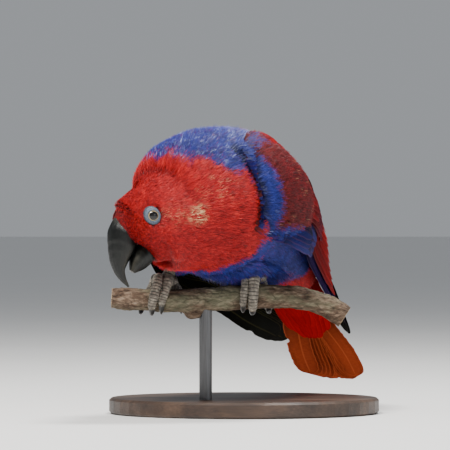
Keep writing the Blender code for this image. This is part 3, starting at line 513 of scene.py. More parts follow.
def barbs(name, roots, normals, lies, length, width, lift, count, blade, marks, bake, seed,
          curl=0.0, stray=0.10):
    """Small feathers, each a spray of narrow barbs that lie along the coat.

    length, width, lift and blade are a number, or one value a feather; marks gives its
    colour masks and bake the place of its patch on the unwrap.
    """
    rng = np.random.default_rng(seed)
    n = len(roots)
    length, width, lift, blade = (v * np.ones(n) for v in (length, width, lift, blade))
    sides = unit(np.cross(normals, lies))
    turn = rng.normal(0.0, stray, n)[:, None]
    lies = unit(lies * np.cos(turn) + sides * np.sin(turn))
    sides = unit(np.cross(normals, lies))
    place = np.linspace(-1.0, 1.0, count)[None, :] + rng.normal(0.0, 0.16, (n, count))
    order = rng.random((n, count))
    reach = length[:, None] * (1.0 - 0.22 * place ** 2) * (0.86 + 0.26 * order)
    splay = place * 0.20 + rng.normal(0.0, 0.05, (n, count))
    start = roots[:, None] + sides[:, None] * (place * width[:, None] * 0.32)[..., None]
    start = start + lies[:, None] * (0.10 * reach * order)[..., None]
    ahead = (lies[:, None] * np.cos(splay)[..., None] + sides[:, None] * np.sin(splay)[..., None])
    rise = lift[:, None] * (0.75 + 0.5 * rng.random((n, count)))
    up = normals[:, None]
    mid = start + ahead * (0.52 * reach)[..., None] + up * (rise * 0.72)[..., None]
    drop = rise * (1.0 + curl) + rng.normal(0.0, 0.10, (n, count)) * rise
    tip = start + ahead * reach[..., None] + up * drop[..., None]
    lean = rng.normal(0.0, 0.35, (n, count))[..., None]
    flat = unit(np.cross(ahead, up) + up * lean)
    half = (0.5 * blade[:, None] * (0.8 + 0.4 * rng.random((n, count))))[..., None]
    base = start - up * 0.0004
    points = np.stack([base - flat * half, base + flat * half, mid - flat * half * 0.85,
                       mid + flat * half * 0.85, tip], axis=2)
    total = n * count
    first = np.arange(total)[:, None] * 5
    quads = first + np.array([[0, 1, 3, 2]])
    tris = first + np.array([[2, 3, 4]])
    along = np.tile(np.array([0.0, 0.0, 0.5, 0.5, 1.0]), total)
    chance = np.repeat(order.ravel(), 5)
    each = np.repeat(np.arange(n), count * 5)
    layers = {"tuft": np.stack([along, chance, np.repeat(rng.random(n), count * 5)], axis=1)}
    for label, values in marks.items():
        layers[label] = np.asarray(values)[each]
    corner = np.array([[-1, -1], [1, -1], [-1, 0], [1, 0], [0, 1]]) * BAKE_PATCH
    uv = np.asarray(bake)[each] + np.tile(corner, (total, 1))
    return mesh_from(name, points.reshape(-1, 3), [quads, tris], layers, uv)


# Feathers with a whole vane, laid on a curved sheet

def blade_width(u):
    """Width along a flight feather: narrow at the root, full, with a rounded tip."""
    grown = 0.45 + 0.55 * smooth(u / 0.30)
    return grown * np.sqrt(np.clip(1.0 - (np.clip(u - 0.88, 0.0, 1.0) / 0.125) ** 2.2, 0.0, 1.0))


def covert_width(u):
    grown = 0.55 + 0.45 * smooth(u / 0.45)
    return grown * np.sqrt(np.clip(1.0 - (np.clip(u - 0.62, 0.0, 1.0) / 0.385) ** 2.0, 0.0, 1.0))


class Vanes:
    """Collects feathers, then makes them one mesh with its masks and its bake map."""

    def __init__(self, name, seed):
        self.name = name
        self.rng = np.random.default_rng(seed)
        self.parts = []

    def add(self, surface, root, tip, middle, low, high, lift, tilt, width, zone,
            rows=16, columns=9, camber=0.05, split=0.5, sweep=0.55):
        """One tier: root, tip, low and high are one value a feather.

        middle takes distances along, zone takes fractions along and across and gives three
        masks; lift and tilt are numbers or take distances along (and across).
        """
        rng = self.rng
        root, tip = np.asarray(root, float)[:, None], np.asarray(tip, float)[:, None]
        n = len(root)
        u = np.linspace(0.0, 1.0, rows)
        u = (0.75 * u + 0.25 * (1.0 - (1.0 - u) ** 2))[None, :]
        a = root + (tip - root) * u
        v = np.linspace(-1.0, 1.0, columns)[None, None, :]
        wide = width(u)[..., None]
        low = np.broadcast_to(np.asarray(low, float).reshape(-1, 1), (n, 1))[..., None]
        high = np.broadcast_to(np.asarray(high, float).reshape(-1, 1), (n, 1))[..., None]
        ragged = 1.0 + 0.018 * rng.normal(0.0, 1.0, (n, rows, 1)) * np.abs(v) ** 3
        across = np.where(v < 0.0, v * low, v * high) * wide * ragged
        notch = np.zeros((n, rows, columns))
        for k in range(n):
            if rng.random() < split:
                side = rng.choice((-1.0, 1.0))
                at = rng.uniform(0.45, 0.9)
                gap = np.exp(-((u[0] - at) / 0.035) ** 2)[:, None]
                notch[k] = -gap * np.clip(side * v[0] - 0.25, 0.0, 1.0) * 0.35
        across = across * (1.0 + notch)
        back = -sweep * np.abs(across) * (1.0 - smooth((u - 0.75) / 0.25))[..., None]
        along = a[..., None] + back
        over = middle(a)[..., None] + across
        d = taken(lift, along, over) + taken(tilt, a)[..., None] * across
        d = d - camber * across ** 2 / 0.006 + 0.00016 * np.exp(-(v / 0.10) ** 2)
        points = surface(along, over, d)
        quads = grid_faces(rows, columns)
        q = points.reshape(n, -1, 3)[0][quads[len(quads) // 2]]
        outward = surface(along, over, d + 0.001).reshape(n, -1, 3)[0][quads[len(quads) // 2][0]]
        if np.dot(np.cross(q[1] - q[0], q[3] - q[0]), outward - q[0]) < 0.0:
            quads = quads[:, ::-1]
        fu = np.broadcast_to(u[..., None], across.shape)
        fv = np.broadcast_to(v, across.shape)
        chance = np.broadcast_to(rng.random((n, 1, 1)), across.shape)
        layers = {"vane": (fu, fv, chance),
                  "barb": (a[..., None] - 0.8 * np.abs(across), across, 0.0 * across),
                  "zone": zone(fu, fv, np.broadcast_to(np.arange(n)[:, None, None], fu.shape))}
        self.parts.append((points.reshape(n, -1, 3), quads, {
            label: stacked(*values).reshape(n, -1, 3) for label, values in layers.items()}))

    def build(self, look, slot, *nodes):
        cells = int(math.ceil(math.sqrt(sum(len(part[0]) for part in self.parts))))
        all_points, all_quads, uv = [], [], []
        marks = {"vane": [], "barb": [], "zone": []}
        offset, number = 0, 0
        for points, quads, layers in self.parts:
            n, each = points.shape[:2]
            all_points.append(points.reshape(-1, 3))
            shift = offset + np.arange(n) * each
            all_quads.append((quads[None] + shift[:, None, None]).reshape(-1, 4))
            place = number + np.arange(n)
            cell = stacked(place % cells, place // cells)[:, None, :]
            along, across = layers["vane"][..., 0], layers["vane"][..., 1]
            inner = stacked(0.5 + 0.46 * across, 0.04 + 0.92 * along)
            uv.append(((cell + inner) / cells).reshape(-1, 2))
            for label, values in layers.items():
                marks[label].append(values.reshape(-1, 3))
            offset += n * each
            number += n
        mesh = mesh_from(self.name, np.concatenate(all_points), [np.concatenate(all_quads)],
                         {k: np.concatenate(v) for k, v in marks.items()}, np.concatenate(uv))
        show(self.name, mesh, look, slot, *nodes)


class WingSheet:
    """Curved sheet that a folded wing's feathers lie on, draped over the body."""

    ROWS, COLUMNS = 28, 25
    ABOVE, REACH = 0.020, 0.030

    def __init__(self, rows, hand):
        line = Line([(*p, *n, r) for p, n, r in rows])
        self.start, self.step = -0.030, 0.001
        a = self.start + self.step * np.arange(300)
        row, along = line(a), line.direction(a)
        out = unit(row[:, 3:6] - along * np.sum(row[:, 3:6] * along, axis=1, keepdims=True))
        across = np.cross(out, along) * hand
        self.table = np.concatenate([row[:, :3] + PERCH, out, across, row[:, 6:7]], axis=1)
        self.at = np.linspace(-0.020, 0.250, self.ROWS)
        self.over = np.linspace(-0.036, 0.060, self.COLUMNS)
        self.rise = np.zeros((self.ROWS, self.COLUMNS))
        aa, tt = np.meshgrid(self.at, self.over, indexing="ij")
        start, end = self.bare(aa, tt, self.ABOVE), self.bare(aa, tt, 0.0)
        for place in np.ndindex(self.rise.shape):
            way = unit(end[place] - start[place])
            hit = BODY_TREE.ray_cast(Vector(start[place]), Vector(way), self.REACH)
            if hit[0] is not None:
                self.rise[place] = max(0.0, self.ABOVE - hit[3] + DRAPE)
        for turn in range(2):
            p = np.pad(self.rise, 1, mode="edge")
            even = (p[:-2, 1:-1] + p[2:, 1:-1] + p[1:-1, :-2] + p[1:-1, 2:]) / 4.0
            self.rise = np.maximum(self.rise, 0.5 * (self.rise + even))

    def bare(self, a, t, d):
        a, t, d = alike(a, t, d)
        x = np.clip((a - self.start) / self.step, 0.0, len(self.table) - 2.0)
        i = x.astype(int)
        f = (x - i)[..., None]
        row = self.table[i] * (1.0 - f) + self.table[i + 1] * f
        centre, out, across, radius = row[..., :3], row[..., 3:6], row[..., 6:9], row[..., 9]
        angle = t / radius
        spoke = np.cos(angle)[..., None] * out + np.sin(angle)[..., None] * across
        return centre - out * radius[..., None] + (radius + d)[..., None] * spoke

    def draped(self, a, t):
        x = np.interp(a, self.at, np.arange(self.ROWS))
        y = np.interp(t, self.over, np.arange(self.COLUMNS))
        i = np.minimum(x.astype(int), self.ROWS - 2)
        j = np.minimum(y.astype(int), self.COLUMNS - 2)
        return between(self.rise, i, j, j + 1, x - i, y - j)

    def __call__(self, a, t, d):
        a, t, d = alike(a, t, d)
        return self.bare(a, t, d + self.draped(a, t))


def body_tree():
    rows = 40
    s, w = np.meshgrid(np.linspace(0.0, 0.178, rows), ring_turns(rows), indexing="ij")
    points = body_surface(s, w).reshape(-1, 3)
    return BVHTree.FromPolygons(points.tolist(), grid_faces(rows, rows, True).tolist())


BODY_TREE = body_tree()


# Nodes of the materials

class Tree:
    """Short ways to add nodes to a material or to a group."""

    def __init__(self, tree):
        self.tree = tree

    def add(self, kind, inputs=None, **settings):
        node = self.tree.nodes.new(kind)
        for key, value in settings.items():
            setattr(node, key, value)
        for key, value in (inputs or {}).items():
            self.put(node.inputs[key], value)
        return node

    def put(self, socket, value):
        if isinstance(value, bpy.types.NodeSocket):
            self.tree.links.new(value, socket)
        else:
            socket.default_value = value

    def mark(self, name):
        return self.add("ShaderNodeAttribute", attribute_name=name).outputs["Vector"]

    def place(self):
        return self.add("ShaderNodeTexCoord").outputs["Object"]

    def split(self, vector):
        return self.add("ShaderNodeSeparateXYZ", {0: vector}).outputs

    def calc(self, operation, *values, clamp=False):
        node = self.add("ShaderNodeMath", operation=operation, use_clamp=clamp)
        for k, value in enumerate(values):
            self.put(node.inputs[k], value)
        return node.outputs[0]

    def times(self, value, factor):
        return self.calc("MULTIPLY", value, factor)

    def weigh(self, *pairs, clamp=False):
        """Sum of values, each times its weight."""
        parts = [value if weight == 1.0 else self.times(value, weight) for value, weight in pairs]
        total = parts[0]
        for k, part in enumerate(parts[1:], start=2):
            total = self.calc("ADD", total, part, clamp=clamp and k == len(parts))
        return total

    def join(self, x, y):
        return self.add("ShaderNodeCombineXYZ", {0: x, 1: y}).outputs[0]

    def shade(self, colour, by):
        return self.mix(1.0, colour, by, "MULTIPLY")

    def mix(self, factor, a, b, blend="MIX"):
        node = self.add("ShaderNodeMix", data_type="RGBA", blend_type=blend)
        for k, value in ((0, factor), (6, a), (7, b)):
            if isinstance(value, tuple) and len(value) == 3:
                value = (*value, 1.0)
            self.put(node.inputs[k], value)
        return node.outputs[2]

    def ramp(self, value, stops):
        node = self.add("ShaderNodeValToRGB", {0: value})
        parts = node.color_ramp.elements
        while len(parts) < len(stops):
            parts.new(0.5)
        for part, (at, colour) in zip(parts, stops):
            part.position = at
            part.color = (*colour, 1.0) if isinstance(colour, tuple) else (colour,) * 3 + (1.0,)
        return node.outputs[0]

    def stretched(self, vector, stretch):
        if not stretch:
            return vector
        return self.add("ShaderNodeMapping", {0: vector, 3: stretch}).outputs[0]

    def noise(self, scale, detail=3.0, rough=0.6, vector=None, stretch=None):
        vector = self.stretched(vector or self.place(), stretch)
        return self.add("ShaderNodeTexNoise", {"Vector": vector, "Scale": scale, "Detail": detail,
                                               "Roughness": rough}).outputs[0]

    def cells(self, scale, feature, stretch=None):
        vector = self.stretched(self.place(), stretch)
        return self.add("ShaderNodeTexVoronoi", {"Vector": vector, "Scale": scale},
                        feature=feature).outputs["Distance"]

    def bump(self, height, distance, strength=1.0):
        return self.add("ShaderNodeBump", {"Height": height, "Distance": distance,
                                           "Strength": strength}).outputs[0]

    def use(self, group, **inputs):
        node = self.add("ShaderNodeGroup", node_tree=group)
        for key, value in inputs.items():
            self.put(node.inputs[key], value)
        return node.outputs


def shader_group(name, takes, gives, fill):
    """Node group of an effect; fill gets the tree and its inputs and returns the outputs."""
    group = bpy.data.node_groups.new(name, "ShaderNodeTree")
    for label, kind, value in takes:
        socket = group.interface.new_socket(label, in_out="INPUT", socket_type="NodeSocket" + kind)
        if value is not None:
            socket.default_value = value
    for label, kind in gives:
        group.interface.new_socket(label, in_out="OUTPUT", socket_type="NodeSocket" + kind)
    tree = Tree(group)
    inside = group.nodes.new("NodeGroupInput")
    outside = group.nodes.new("NodeGroupOutput")
    for socket, value in zip(outside.inputs, fill(tree, inside.outputs)):
        tree.put(socket, value)
    return group


class Finish(Tree):
    """Material with a Principled shader; fixed numbers are set on the shader itself."""

    def __init__(self, name, **fixed):
        self.look = bpy.data.materials.new(name)
        self.look.use_nodes = True
        super().__init__(self.look.node_tree)
        self.inputs = self.tree.nodes["Principled BSDF"].inputs
        for label, value in fixed.items():
            self.inputs[label.replace("_", " ")].default_value = value

    def done(self, **linked):
        for label, value in linked.items():
            self.put(self.inputs[label.replace("_", " ")], value)
        return self.look


RED_TONES = ((0.10, (0.050, 0.0004, 0.0012)), (0.42, (0.260, 0.0014, 0.0038)),
             (0.72, (0.500, 0.0050, 0.0080)), (0.98, (0.850, 0.0450, 0.0320)))
BLUE_TONES = ((0.10, (0.0015, 0.002, 0.024)), (0.42, (0.0065, 0.011, 0.125)),
              (0.74, (0.016, 0.028, 0.250)), (0.98, (0.050, 0.080, 0.400)))
MAROON_TONES = ((0.10, (0.016, 0.0006, 0.0016)), (0.5, (0.085, 0.0016, 0.0040)),
                (0.95, (0.240, 0.0050, 0.0080)))
# Colours of the painted highlights: warm over red feathers, cool over blue ones
PAINTED_HIGHLIGHT_ON_RED, PAINTED_HIGHLIGHT_ON_BLUE = (0.84, 0.52, 0.26), (0.40, 0.46, 0.78)

VANE_MAROON = ((0.12, (0.020, 0.0006, 0.0018)), (0.5, (0.075, 0.0014, 0.0036)),
               (0.9, (0.190, 0.0040, 0.0070)))
VANE_VIVID = ((0.1, (0.170, 0.0012, 0.0022)), (0.9, (0.500, 0.0090, 0.0070)))
VANE_BLUE = ((0.1, (0.0015, 0.003, 0.032)), (0.6, (0.005, 0.012, 0.115)),
             (1.0, (0.025, 0.050, 0.230)))
VANE_BLACK = ((0.1, (0.0018, 0.0018, 0.003)), (0.9, (0.010, 0.010, 0.016)))
VANE_RIM, VANE_SHAFT = (0.45, 0.16, 0.15), (0.030, 0.010, 0.010)


def coat_colours(t, i):
    blue, maroon, pale = t.split(i["Mark"])
    red, sea, dark = (t.ramp(i["Variation"], tones)
                      for tones in (RED_TONES, BLUE_TONES, MAROON_TONES))
    tone = t.mix(maroon, t.mix(blue, red, sea), dark)
    # The third mask mixes in painted highlights, in the warm or the cool highlight colour
    return (t.mix(pale, tone, t.mix(blue, PAINTED_HIGHLIGHT_ON_RED, PAINTED_HIGHLIGHT_ON_BLUE)),)


def vane_colours(t, i):
    blue, black, bright = t.split(i["Zone"])
    along, across, chance = t.split(i["Vane"])
    edge = t.calc("ABSOLUTE", across)
    tone = t.weigh((chance, 0.55), (t.noise(900.0, 2.0), 0.50))
    maroon, vivid, sea, dark = (t.ramp(tone, tones) for tones in (
        VANE_MAROON, VANE_VIVID, VANE_BLUE, VANE_BLACK))
    colour = t.mix(black, t.mix(blue, t.mix(bright, maroon, vivid), sea), dark)
    rim = t.times(t.ramp(edge, ((0.80, 0.0), (0.97, 1.0))), 0.30)
    colour = t.mix(rim, colour, t.mix(0.35, colour, VANE_RIM))
    shaft = t.times(t.ramp(edge, ((0.03, 1.0), (0.09, 0.0))), 0.65)
    colour = t.mix(shaft, colour, VANE_SHAFT)
    return (t.shade(colour, t.ramp(along, ((0.0, 0.35), (0.45, 1.0)))),)


def barb_grain(t, i):
    along = t.split(i["Barb"])[0]
    phase = t.weigh((along, 6800.0), (t.noise(260.0, 2.0, 0.5), 5.0))
    return (t.weigh((t.times(t.calc("SINE", phase), 0.5), 1.0), (t.noise(1500.0, 2.0), 1.0)),)


def horn_streaks(t, i):
    along, around, none = t.split(i["Horn"])
    drawn = t.join(t.times(along, 22.0), t.times(around, 260.0))
    return t.noise(1.0, 4.0, 0.65, vector=drawn), t.noise(190.0)


COAT_COLOURS = shader_group("Coat colours", (("Mark", "Vector", None), ("Variation", "Float", 0.5)),
                            (("Color", "Color"),), coat_colours)
VANE_COLOURS = shader_group("Vane colours", (("Zone", "Vector", None), ("Vane", "Vector", None)),
                            (("Color", "Color"),), vane_colours)
BARB_GRAIN = shader_group("Barb grain", (("Barb", "Vector", None),), (("Height", "Float"),),
                          barb_grain)
HORN_STREAKS = shader_group("Horn streaks", (("Horn", "Vector", None),),
                            (("Streak", "Float"), ("Patch", "Float")), horn_streaks)


def coat_look(name, rough):
    t = Finish(name, Specular_IOR_Level=0.30)
    along, chance, feather = t.split(t.mark("tuft"))
    tone = t.weigh((feather, 0.34), (chance, 0.36), (t.noise(120.0), 0.40), clamp=True)
    colour = t.use(COAT_COLOURS, Mark=t.mark("mark"), Variation=tone)["Color"]
    return t.done(
        Base_Color=t.shade(colour, t.ramp(along, ((0.0, 0.10), (0.45, 0.55), (0.95, 1.25)))),
        Roughness=t.ramp(chance, ((0.0, rough - 0.12), (1.0, rough + 0.12))))


def skin_look():
    t = Finish("skin_under_coat", Specular_IOR_Level=0.2)
    fine = t.noise(900.0)
    colour = t.use(COAT_COLOURS, Mark=t.mark("mark"), Variation=t.noise(420.0, rough=0.65))["Color"]
    return t.done(Base_Color=t.shade(colour, t.ramp(fine, ((0.3, 0.18), (0.7, 0.50)))),
                  Roughness=t.ramp(fine, ((0.3, 0.65), (0.7, 0.9))),
                  Normal=t.bump(fine, 0.0008))


def feather_look(name, low, high, rim, rough=0.60):
    """Vane finish; the feather's underside has two tones, a band of painted shade inside its edges
    and the colour of its rim.
    """
    t = Finish(name, Specular_IOR_Level=0.03)
    colour = t.use(VANE_COLOURS, Zone=t.mark("zone"), Vane=t.mark("vane"))["Color"]
    grain = t.use(BARB_GRAIN, Barb=t.mark("barb"))["Height"]
    along, across, chance = t.split(t.mark("vane"))
    side = t.calc("ABSOLUTE", across)
    below = t.mix(t.weigh((t.noise(500.0), 0.6), (chance, 0.4)), low, high)
    below = t.shade(below, t.ramp(along, ((0.05, 0.30), (0.75, 1.0))))
    # Painted shade: a darker band just inside the edge stands in for the shadow where neighbouring
    # feathers overlap
    below = t.shade(below, t.ramp(side, ((0.55, 1.0), (0.86, 0.74), (0.93, 1.0))))
    below = t.mix(t.ramp(side, ((0.03, 0.45), (0.08, 0.0))), below, rim)
    below = t.mix(t.ramp(side, ((0.93, 0.0), (0.99, 0.7))), below, rim)
    back = t.add("ShaderNodeNewGeometry").outputs["Backfacing"]
    satin = t.ramp(grain, ((0.0, rough - 0.10), (1.0, rough + 0.15)))
    return t.done(Base_Color=t.mix(back, colour, below),
                  Roughness=t.mix(back, satin, (0.95, 0.95, 0.95)),
                  Normal=t.bump(grain, 0.00022, 0.8))


def bill_look():
    t = Finish("bill_horn_satin", Specular_IOR_Level=0.30)
    streak, patch = t.use(HORN_STREAKS, Horn=t.mark("horn"))
    along, around, edge = t.split(t.mark("horn"))
    tone = t.weigh((streak, 0.6), (patch, 0.4))
    colour = t.ramp(tone, ((0.36, (0.0007, 0.0009, 0.0009)), (0.52, (0.0022, 0.0028, 0.0026)),
                           (0.64, (0.0085, 0.0105, 0.0090)), (0.76, (0.050, 0.052, 0.042))))
    base = t.ramp(along, ((0.0, 1.0), (0.05, 0.75), (0.10, 0.0)))
    colour = t.mix(t.times(base, 0.35), colour, (0.060, 0.055, 0.045))
    return t.done(Base_Color=t.mix(t.times(edge, 0.30), colour, (0.110, 0.100, 0.075)),
                  Roughness=t.ramp(tone, ((0.3, 0.30), (0.8, 0.55))),
                  Normal=t.bump(streak, 0.00022, 0.7))


def claw_look():
    t = Finish("claw_horn_satin")
    streak, patch = t.use(HORN_STREAKS, Horn=t.mark("horn"))
    return t.done(
        Base_Color=t.ramp(streak, ((0.35, (0.010, 0.010, 0.010)), (0.62, (0.045, 0.042, 0.040)),
                                   (0.85, (0.120, 0.110, 0.100)))),
        Roughness=t.ramp(patch, ((0.3, 0.28), (0.7, 0.50))), Normal=t.bump(streak, 0.0001, 0.6))


def eye_look():
    t = Finish("eye_clear", Coat_Roughness=0.02, Specular_IOR_Level=0.3)
    out, around, none = t.split(t.mark("eye"))
    rays = t.noise(1.0, vector=t.join(t.times(around, 60.0), t.times(out, 6.0)))
    ring = t.ramp(t.calc("DIVIDE", out, EYE_RADIUS),
                  ((0.515, 0.0), (0.535, 1.0), (0.610, 1.0), (0.635, 0.0)))
    iris = t.mix(rays, (0.20, 0.12, 0.05), (0.50, 0.40, 0.25))
    return t.done(Base_Color=t.mix(ring, (0.006, 0.005, 0.005), iris),
                  Roughness=t.ramp(rays, ((0.2, 0.03), (0.9, 0.09))),
                  Coat_Weight=t.ramp(rays, ((0.0, 0.25), (1.0, 0.35))))


def lid_look():
    t = Finish("lid_skin", Specular_IOR_Level=0.4)
    out = t.split(t.mark("lid"))[0]
    cells = t.cells(1700.0, "F1")
    tone = t.mix(t.ramp(cells, ((0.10, 0.0), (0.55, 1.0))),
                 (0.014, 0.020, 0.032), (0.095, 0.120, 0.165))
    dark = t.ramp(out, ((0.0, 1.0), (0.17, 0.0), (0.55, 0.0), (0.80, 0.8)))
    return t.done(Base_Color=t.mix(t.times(dark, 0.85), tone, (0.012, 0.014, 0.018)),
                  Roughness=t.ramp(cells, ((0.0, 0.65), (0.5, 0.42))),
                  Normal=t.bump(cells, 0.0003, 0.8))


def foot_look():
    t = Finish("foot_scales", Specular_IOR_Level=0.45)
    phase, around, along = t.split(t.mark("scute"))
    wave = t.calc("ABSOLUTE", t.calc("SINE", t.times(phase, math.pi)))
    under = t.ramp(around, ((0.30, 1.0), (0.45, 0.0)))
    pebbles = t.ramp(t.cells(900.0, "DISTANCE_TO_EDGE"), ((0.02, 0.0), (0.16, 1.0)))
    plate = t.mix(under, t.ramp(wave, ((0.05, 0.0), (0.38, 1.0))), pebbles)
    mottle = t.noise(380.0, 4.0, 0.65)
    tone = t.ramp(mottle, ((0.30, (0.066, 0.058, 0.048)), (0.50, (0.185, 0.160, 0.128)),
                           (0.72, (0.400, 0.350, 0.280))))
    return t.done(Base_Color=t.mix(plate, (0.022, 0.020, 0.019), tone),
                  Roughness=t.ramp(mottle, ((0.3, 0.50), (0.7, 0.78))),
                  Normal=t.bump(plate, 0.00035, 0.9))


def bark_look():
    t = Finish("bark_mottled", Specular_IOR_Level=0.3)
    big = t.noise(55.0, 4.0, stretch=(0.45, 1.0, 1.0))
    small = t.noise(420.0, 5.0, 0.7, stretch=(0.35, 1.0, 1.0))
    crack = t.cells(260.0, "DISTANCE_TO_EDGE", (0.4, 1.0, 1.0))
    brown = t.ramp(small, ((0.30, (0.022, 0.013, 0.009)), (0.48, (0.090, 0.056, 0.036)),
                           (0.62, (0.190, 0.132, 0.090)), (0.80, (0.380, 0.310, 0.240))))
    moss = t.mix(small, (0.060, 0.070, 0.030), (0.300, 0.330, 0.220))
    colour = t.mix(t.ramp(big, ((0.52, 0.0), (0.66, 0.45))), brown, moss)
    lines = t.ramp(crack, ((0.0, 0.60), (0.08, 1.0)))
    return t.done(Base_Color=t.mix(0.8, colour, lines, "MULTIPLY"),
                  Roughness=t.ramp(small, ((0.3, 0.95), (0.8, 0.70))),
                  Normal=t.bump(t.weigh((small, 0.7), (lines, 0.3)), 0.0012, 0.9))


def sawn_look():
    t = Finish("sawn_end")
    radius = t.split(t.mark("ring"))[0]
    wobble = t.noise(140.0)
    rings = t.calc("SINE", t.weigh((radius, 10500.0), (wobble, 9.0)))
    colour = t.ramp(t.weigh((rings, 0.3), (wobble, 1.0)), (
        (0.30, (0.150, 0.085, 0.040)), (0.60, (0.420, 0.290, 0.160)),
        (0.90, (0.560, 0.430, 0.270))))
    bark = t.ramp(t.times(radius, 120.0), ((0.78, 0.0), (0.84, 1.0)))
    return t.done(Base_Color=t.mix(bark, colour, (0.060, 0.038, 0.024)),
                  Roughness=t.ramp(wobble, ((0.3, 0.75), (0.7, 0.9))),
                  Normal=t.bump(rings, 0.00012, 0.5))


def stand_wood_look():
    t = Finish("stand_wood_satin", Coat_Roughness=0.25, Specular_IOR_Level=0.5)
    grain = t.noise(60.0, 5.0, stretch=(0.12, 1.6, 1.0))
    pores = t.noise(900.0, stretch=(0.06, 1.0, 1.0))
    tone = t.weigh((grain, 0.75), (pores, 0.25))
    return t.done(
        Base_Color=t.ramp(tone, ((0.34, (0.014, 0.007, 0.004)), (0.50, (0.040, 0.021, 0.012)),
                                 (0.66, (0.085, 0.046, 0.026)))),
        Roughness=t.ramp(pores, ((0.3, 0.60), (0.7, 0.46))),
        Coat_Weight=t.ramp(grain, ((0.3, 0.08), (0.7, 0.18))), Normal=t.bump(pores, 0.00015, 0.35))


def stand_metal_look():
    t = Finish("stand_metal_satin")
    brushed = t.noise(1400.0, stretch=(1.0, 1.0, 0.03))
    return t.done(
        Base_Color=t.ramp(brushed, ((0.3, (0.085, 0.085, 0.088)), (0.7, (0.150, 0.150, 0.155)))),
        Metallic=t.ramp(brushed, ((0.0, 0.85), (1.0, 0.95))),
        Roughness=t.ramp(brushed, ((0.3, 0.32), (0.7, 0.46))), Normal=t.bump(brushed, 0.00005, 0.3))


def floor_look():
    t = Finish("floor_pale")
    faint = t.noise(3.0, 2.0, 0.5)
    return t.done(Base_Color=t.mix(faint, (0.74, 0.74, 0.735), (0.78, 0.78, 0.775)),
                  Roughness=t.ramp(faint, ((0.3, 0.72), (0.7, 0.80))))


# Markings and painted highlights

def ripple(points, size, seed):
    """Smooth random value round 0 that changes over the given size."""
    rng = np.random.default_rng(seed)
    waves = unit(rng.normal(size=(7, 3))) * (2.0 * math.pi / size) * rng.uniform(0.6, 1.6, (7, 1))
    return np.sin(points @ waves.T + rng.uniform(0.0, 6.28, 7)).sum(axis=-1) / 2.6


def coat_marks(points, s, angle, rng=None):
    """Blue, maroon and painted-highlight shares of the coat at places on the body."""
    n = np.shape(s)
    scatter = rng.normal(0.0, 1.0, n) if rng else np.zeros(n)
    chance = rng.random(n) if rng else np.ones(n)
    high = np.sin(angle)
    side = np.arcsin(np.clip(high, -1.0, 1.0))
    hood_end = np.interp(side, HOOD_ANGLES, HOOD_ENDS)
    hood_end = hood_end + 0.0030 * ripple(points, 0.016, 3) + 0.0024 * scatter
    hood = smooth((s - hood_end) / 0.0030 + 0.5)
    back_end = 0.048 + 0.074 * smooth((high + 0.2) / 0.6)
    back_end = back_end + 0.0040 * ripple(points, 0.020, 4) + 0.0024 * scatter
    blue = (1.0 - hood) * smooth((s - back_end) / 0.004 + 0.5)
    x, z = points[..., 0], points[..., 2]
    warm = np.exp(-((x + 0.0285) / 0.0070) ** 2 - ((z - 0.0815) / 0.0045) ** 2)
    warm = warm + np.exp(-((x - 0.0270) / 0.0100) ** 2 - ((z - 0.0825) / 0.0050) ** 2)
    blue = blue * (1.0 - smooth(1.7 * warm - 0.2 + 0.25 * scatter))
    maroon = (1.0 - hood) * (1.0 - blue) * smooth((high + 0.15) / 0.4)
    mantle = blue * smooth((high - 0.45) / 0.35) * smooth((s - 0.100) / 0.03)
    # Painted highlights: a few scattered tufts on the mantle
    pale = np.where(chance < 0.09, (0.25 + 5.0 * chance) * mantle, 0.0)

    def spot(middle, long, turn, wide):
        return np.exp(-((s - middle) / long) ** 2 - ((side - turn) / wide) ** 2)

    # Painted highlights on the mantle, the ear, the cheek and the nape, in tufts of these chances
    for share, least, most in (
            (0.85 * mantle * spot(0.131, 0.010, 1.03, 0.30), -1.0, 0.45),
            (smooth(1.6 * spot(0.1880, 0.0045, 0.07, 0.20) - 0.35), -1.0, 0.30),
            (0.40 * spot(0.1945, 0.0040, 0.15, 0.22), 0.84, 0.97),
            (0.45 * hood * spot(0.176, 0.010, 0.42, 0.28), 0.90, 0.97)):
        pale = np.maximum(pale, np.where((chance > least) & (chance < most), share, 0.0))
    return stacked(blue, maroon, pale)


def body_bake(s, angle):
    """Place of a root on an unwrap of the body's own skin."""
    turn = (np.asarray(angle) / (2.0 * math.pi)) % 1.0
    return stacked(0.01 + 0.98 * turn, 0.01 + 0.82 * np.asarray(s) / BODY_LENGTH)


def thigh_bake(side, turn, polar):
    """Place on an unwrap of a thigh, beside the body's."""
    return stacked(0.02 + (0.5 if side == "right" else 0.0) + 0.45 * turn,
                   0.86 + 0.12 * polar / math.pi)


# Head details

def bill_frame(rows, count):
    """Line of a bill's sheath: rows, direction and outward side in the head frame."""
    line = Line([(r[0], 0.0, r[1], r[2], r[3]) for r in rows])
    s = np.linspace(0.0, 1.0, count)
    s = line.length * (1.0 - (1.0 - s) ** 1.25)
    return line(s), line.direction(s), s / line.length


def inside_bill(points, rows, grow=0.0006):
    ahead, left, up = in_head(points)
    row, along, _ = bill_frame(rows, 90)
    near = np.argmin((ahead[:, None] - row[:, 0]) ** 2 + (up[:, None] - row[:, 2]) ** 2, axis=1)
    r, d = row[near], along[near]
    deep = -(ahead - r[:, 0]) * d[:, 2] + (up - r[:, 2]) * d[:, 0]
    on = (ahead - r[:, 0]) * d[:, 0] + (up - r[:, 2]) * d[:, 2]
    value = (left / (r[:, 4] + grow)) ** 2 + (deep / (r[:, 3] + grow)) ** 2
    return (value < 1.0) & (np.abs(on) < 0.003)


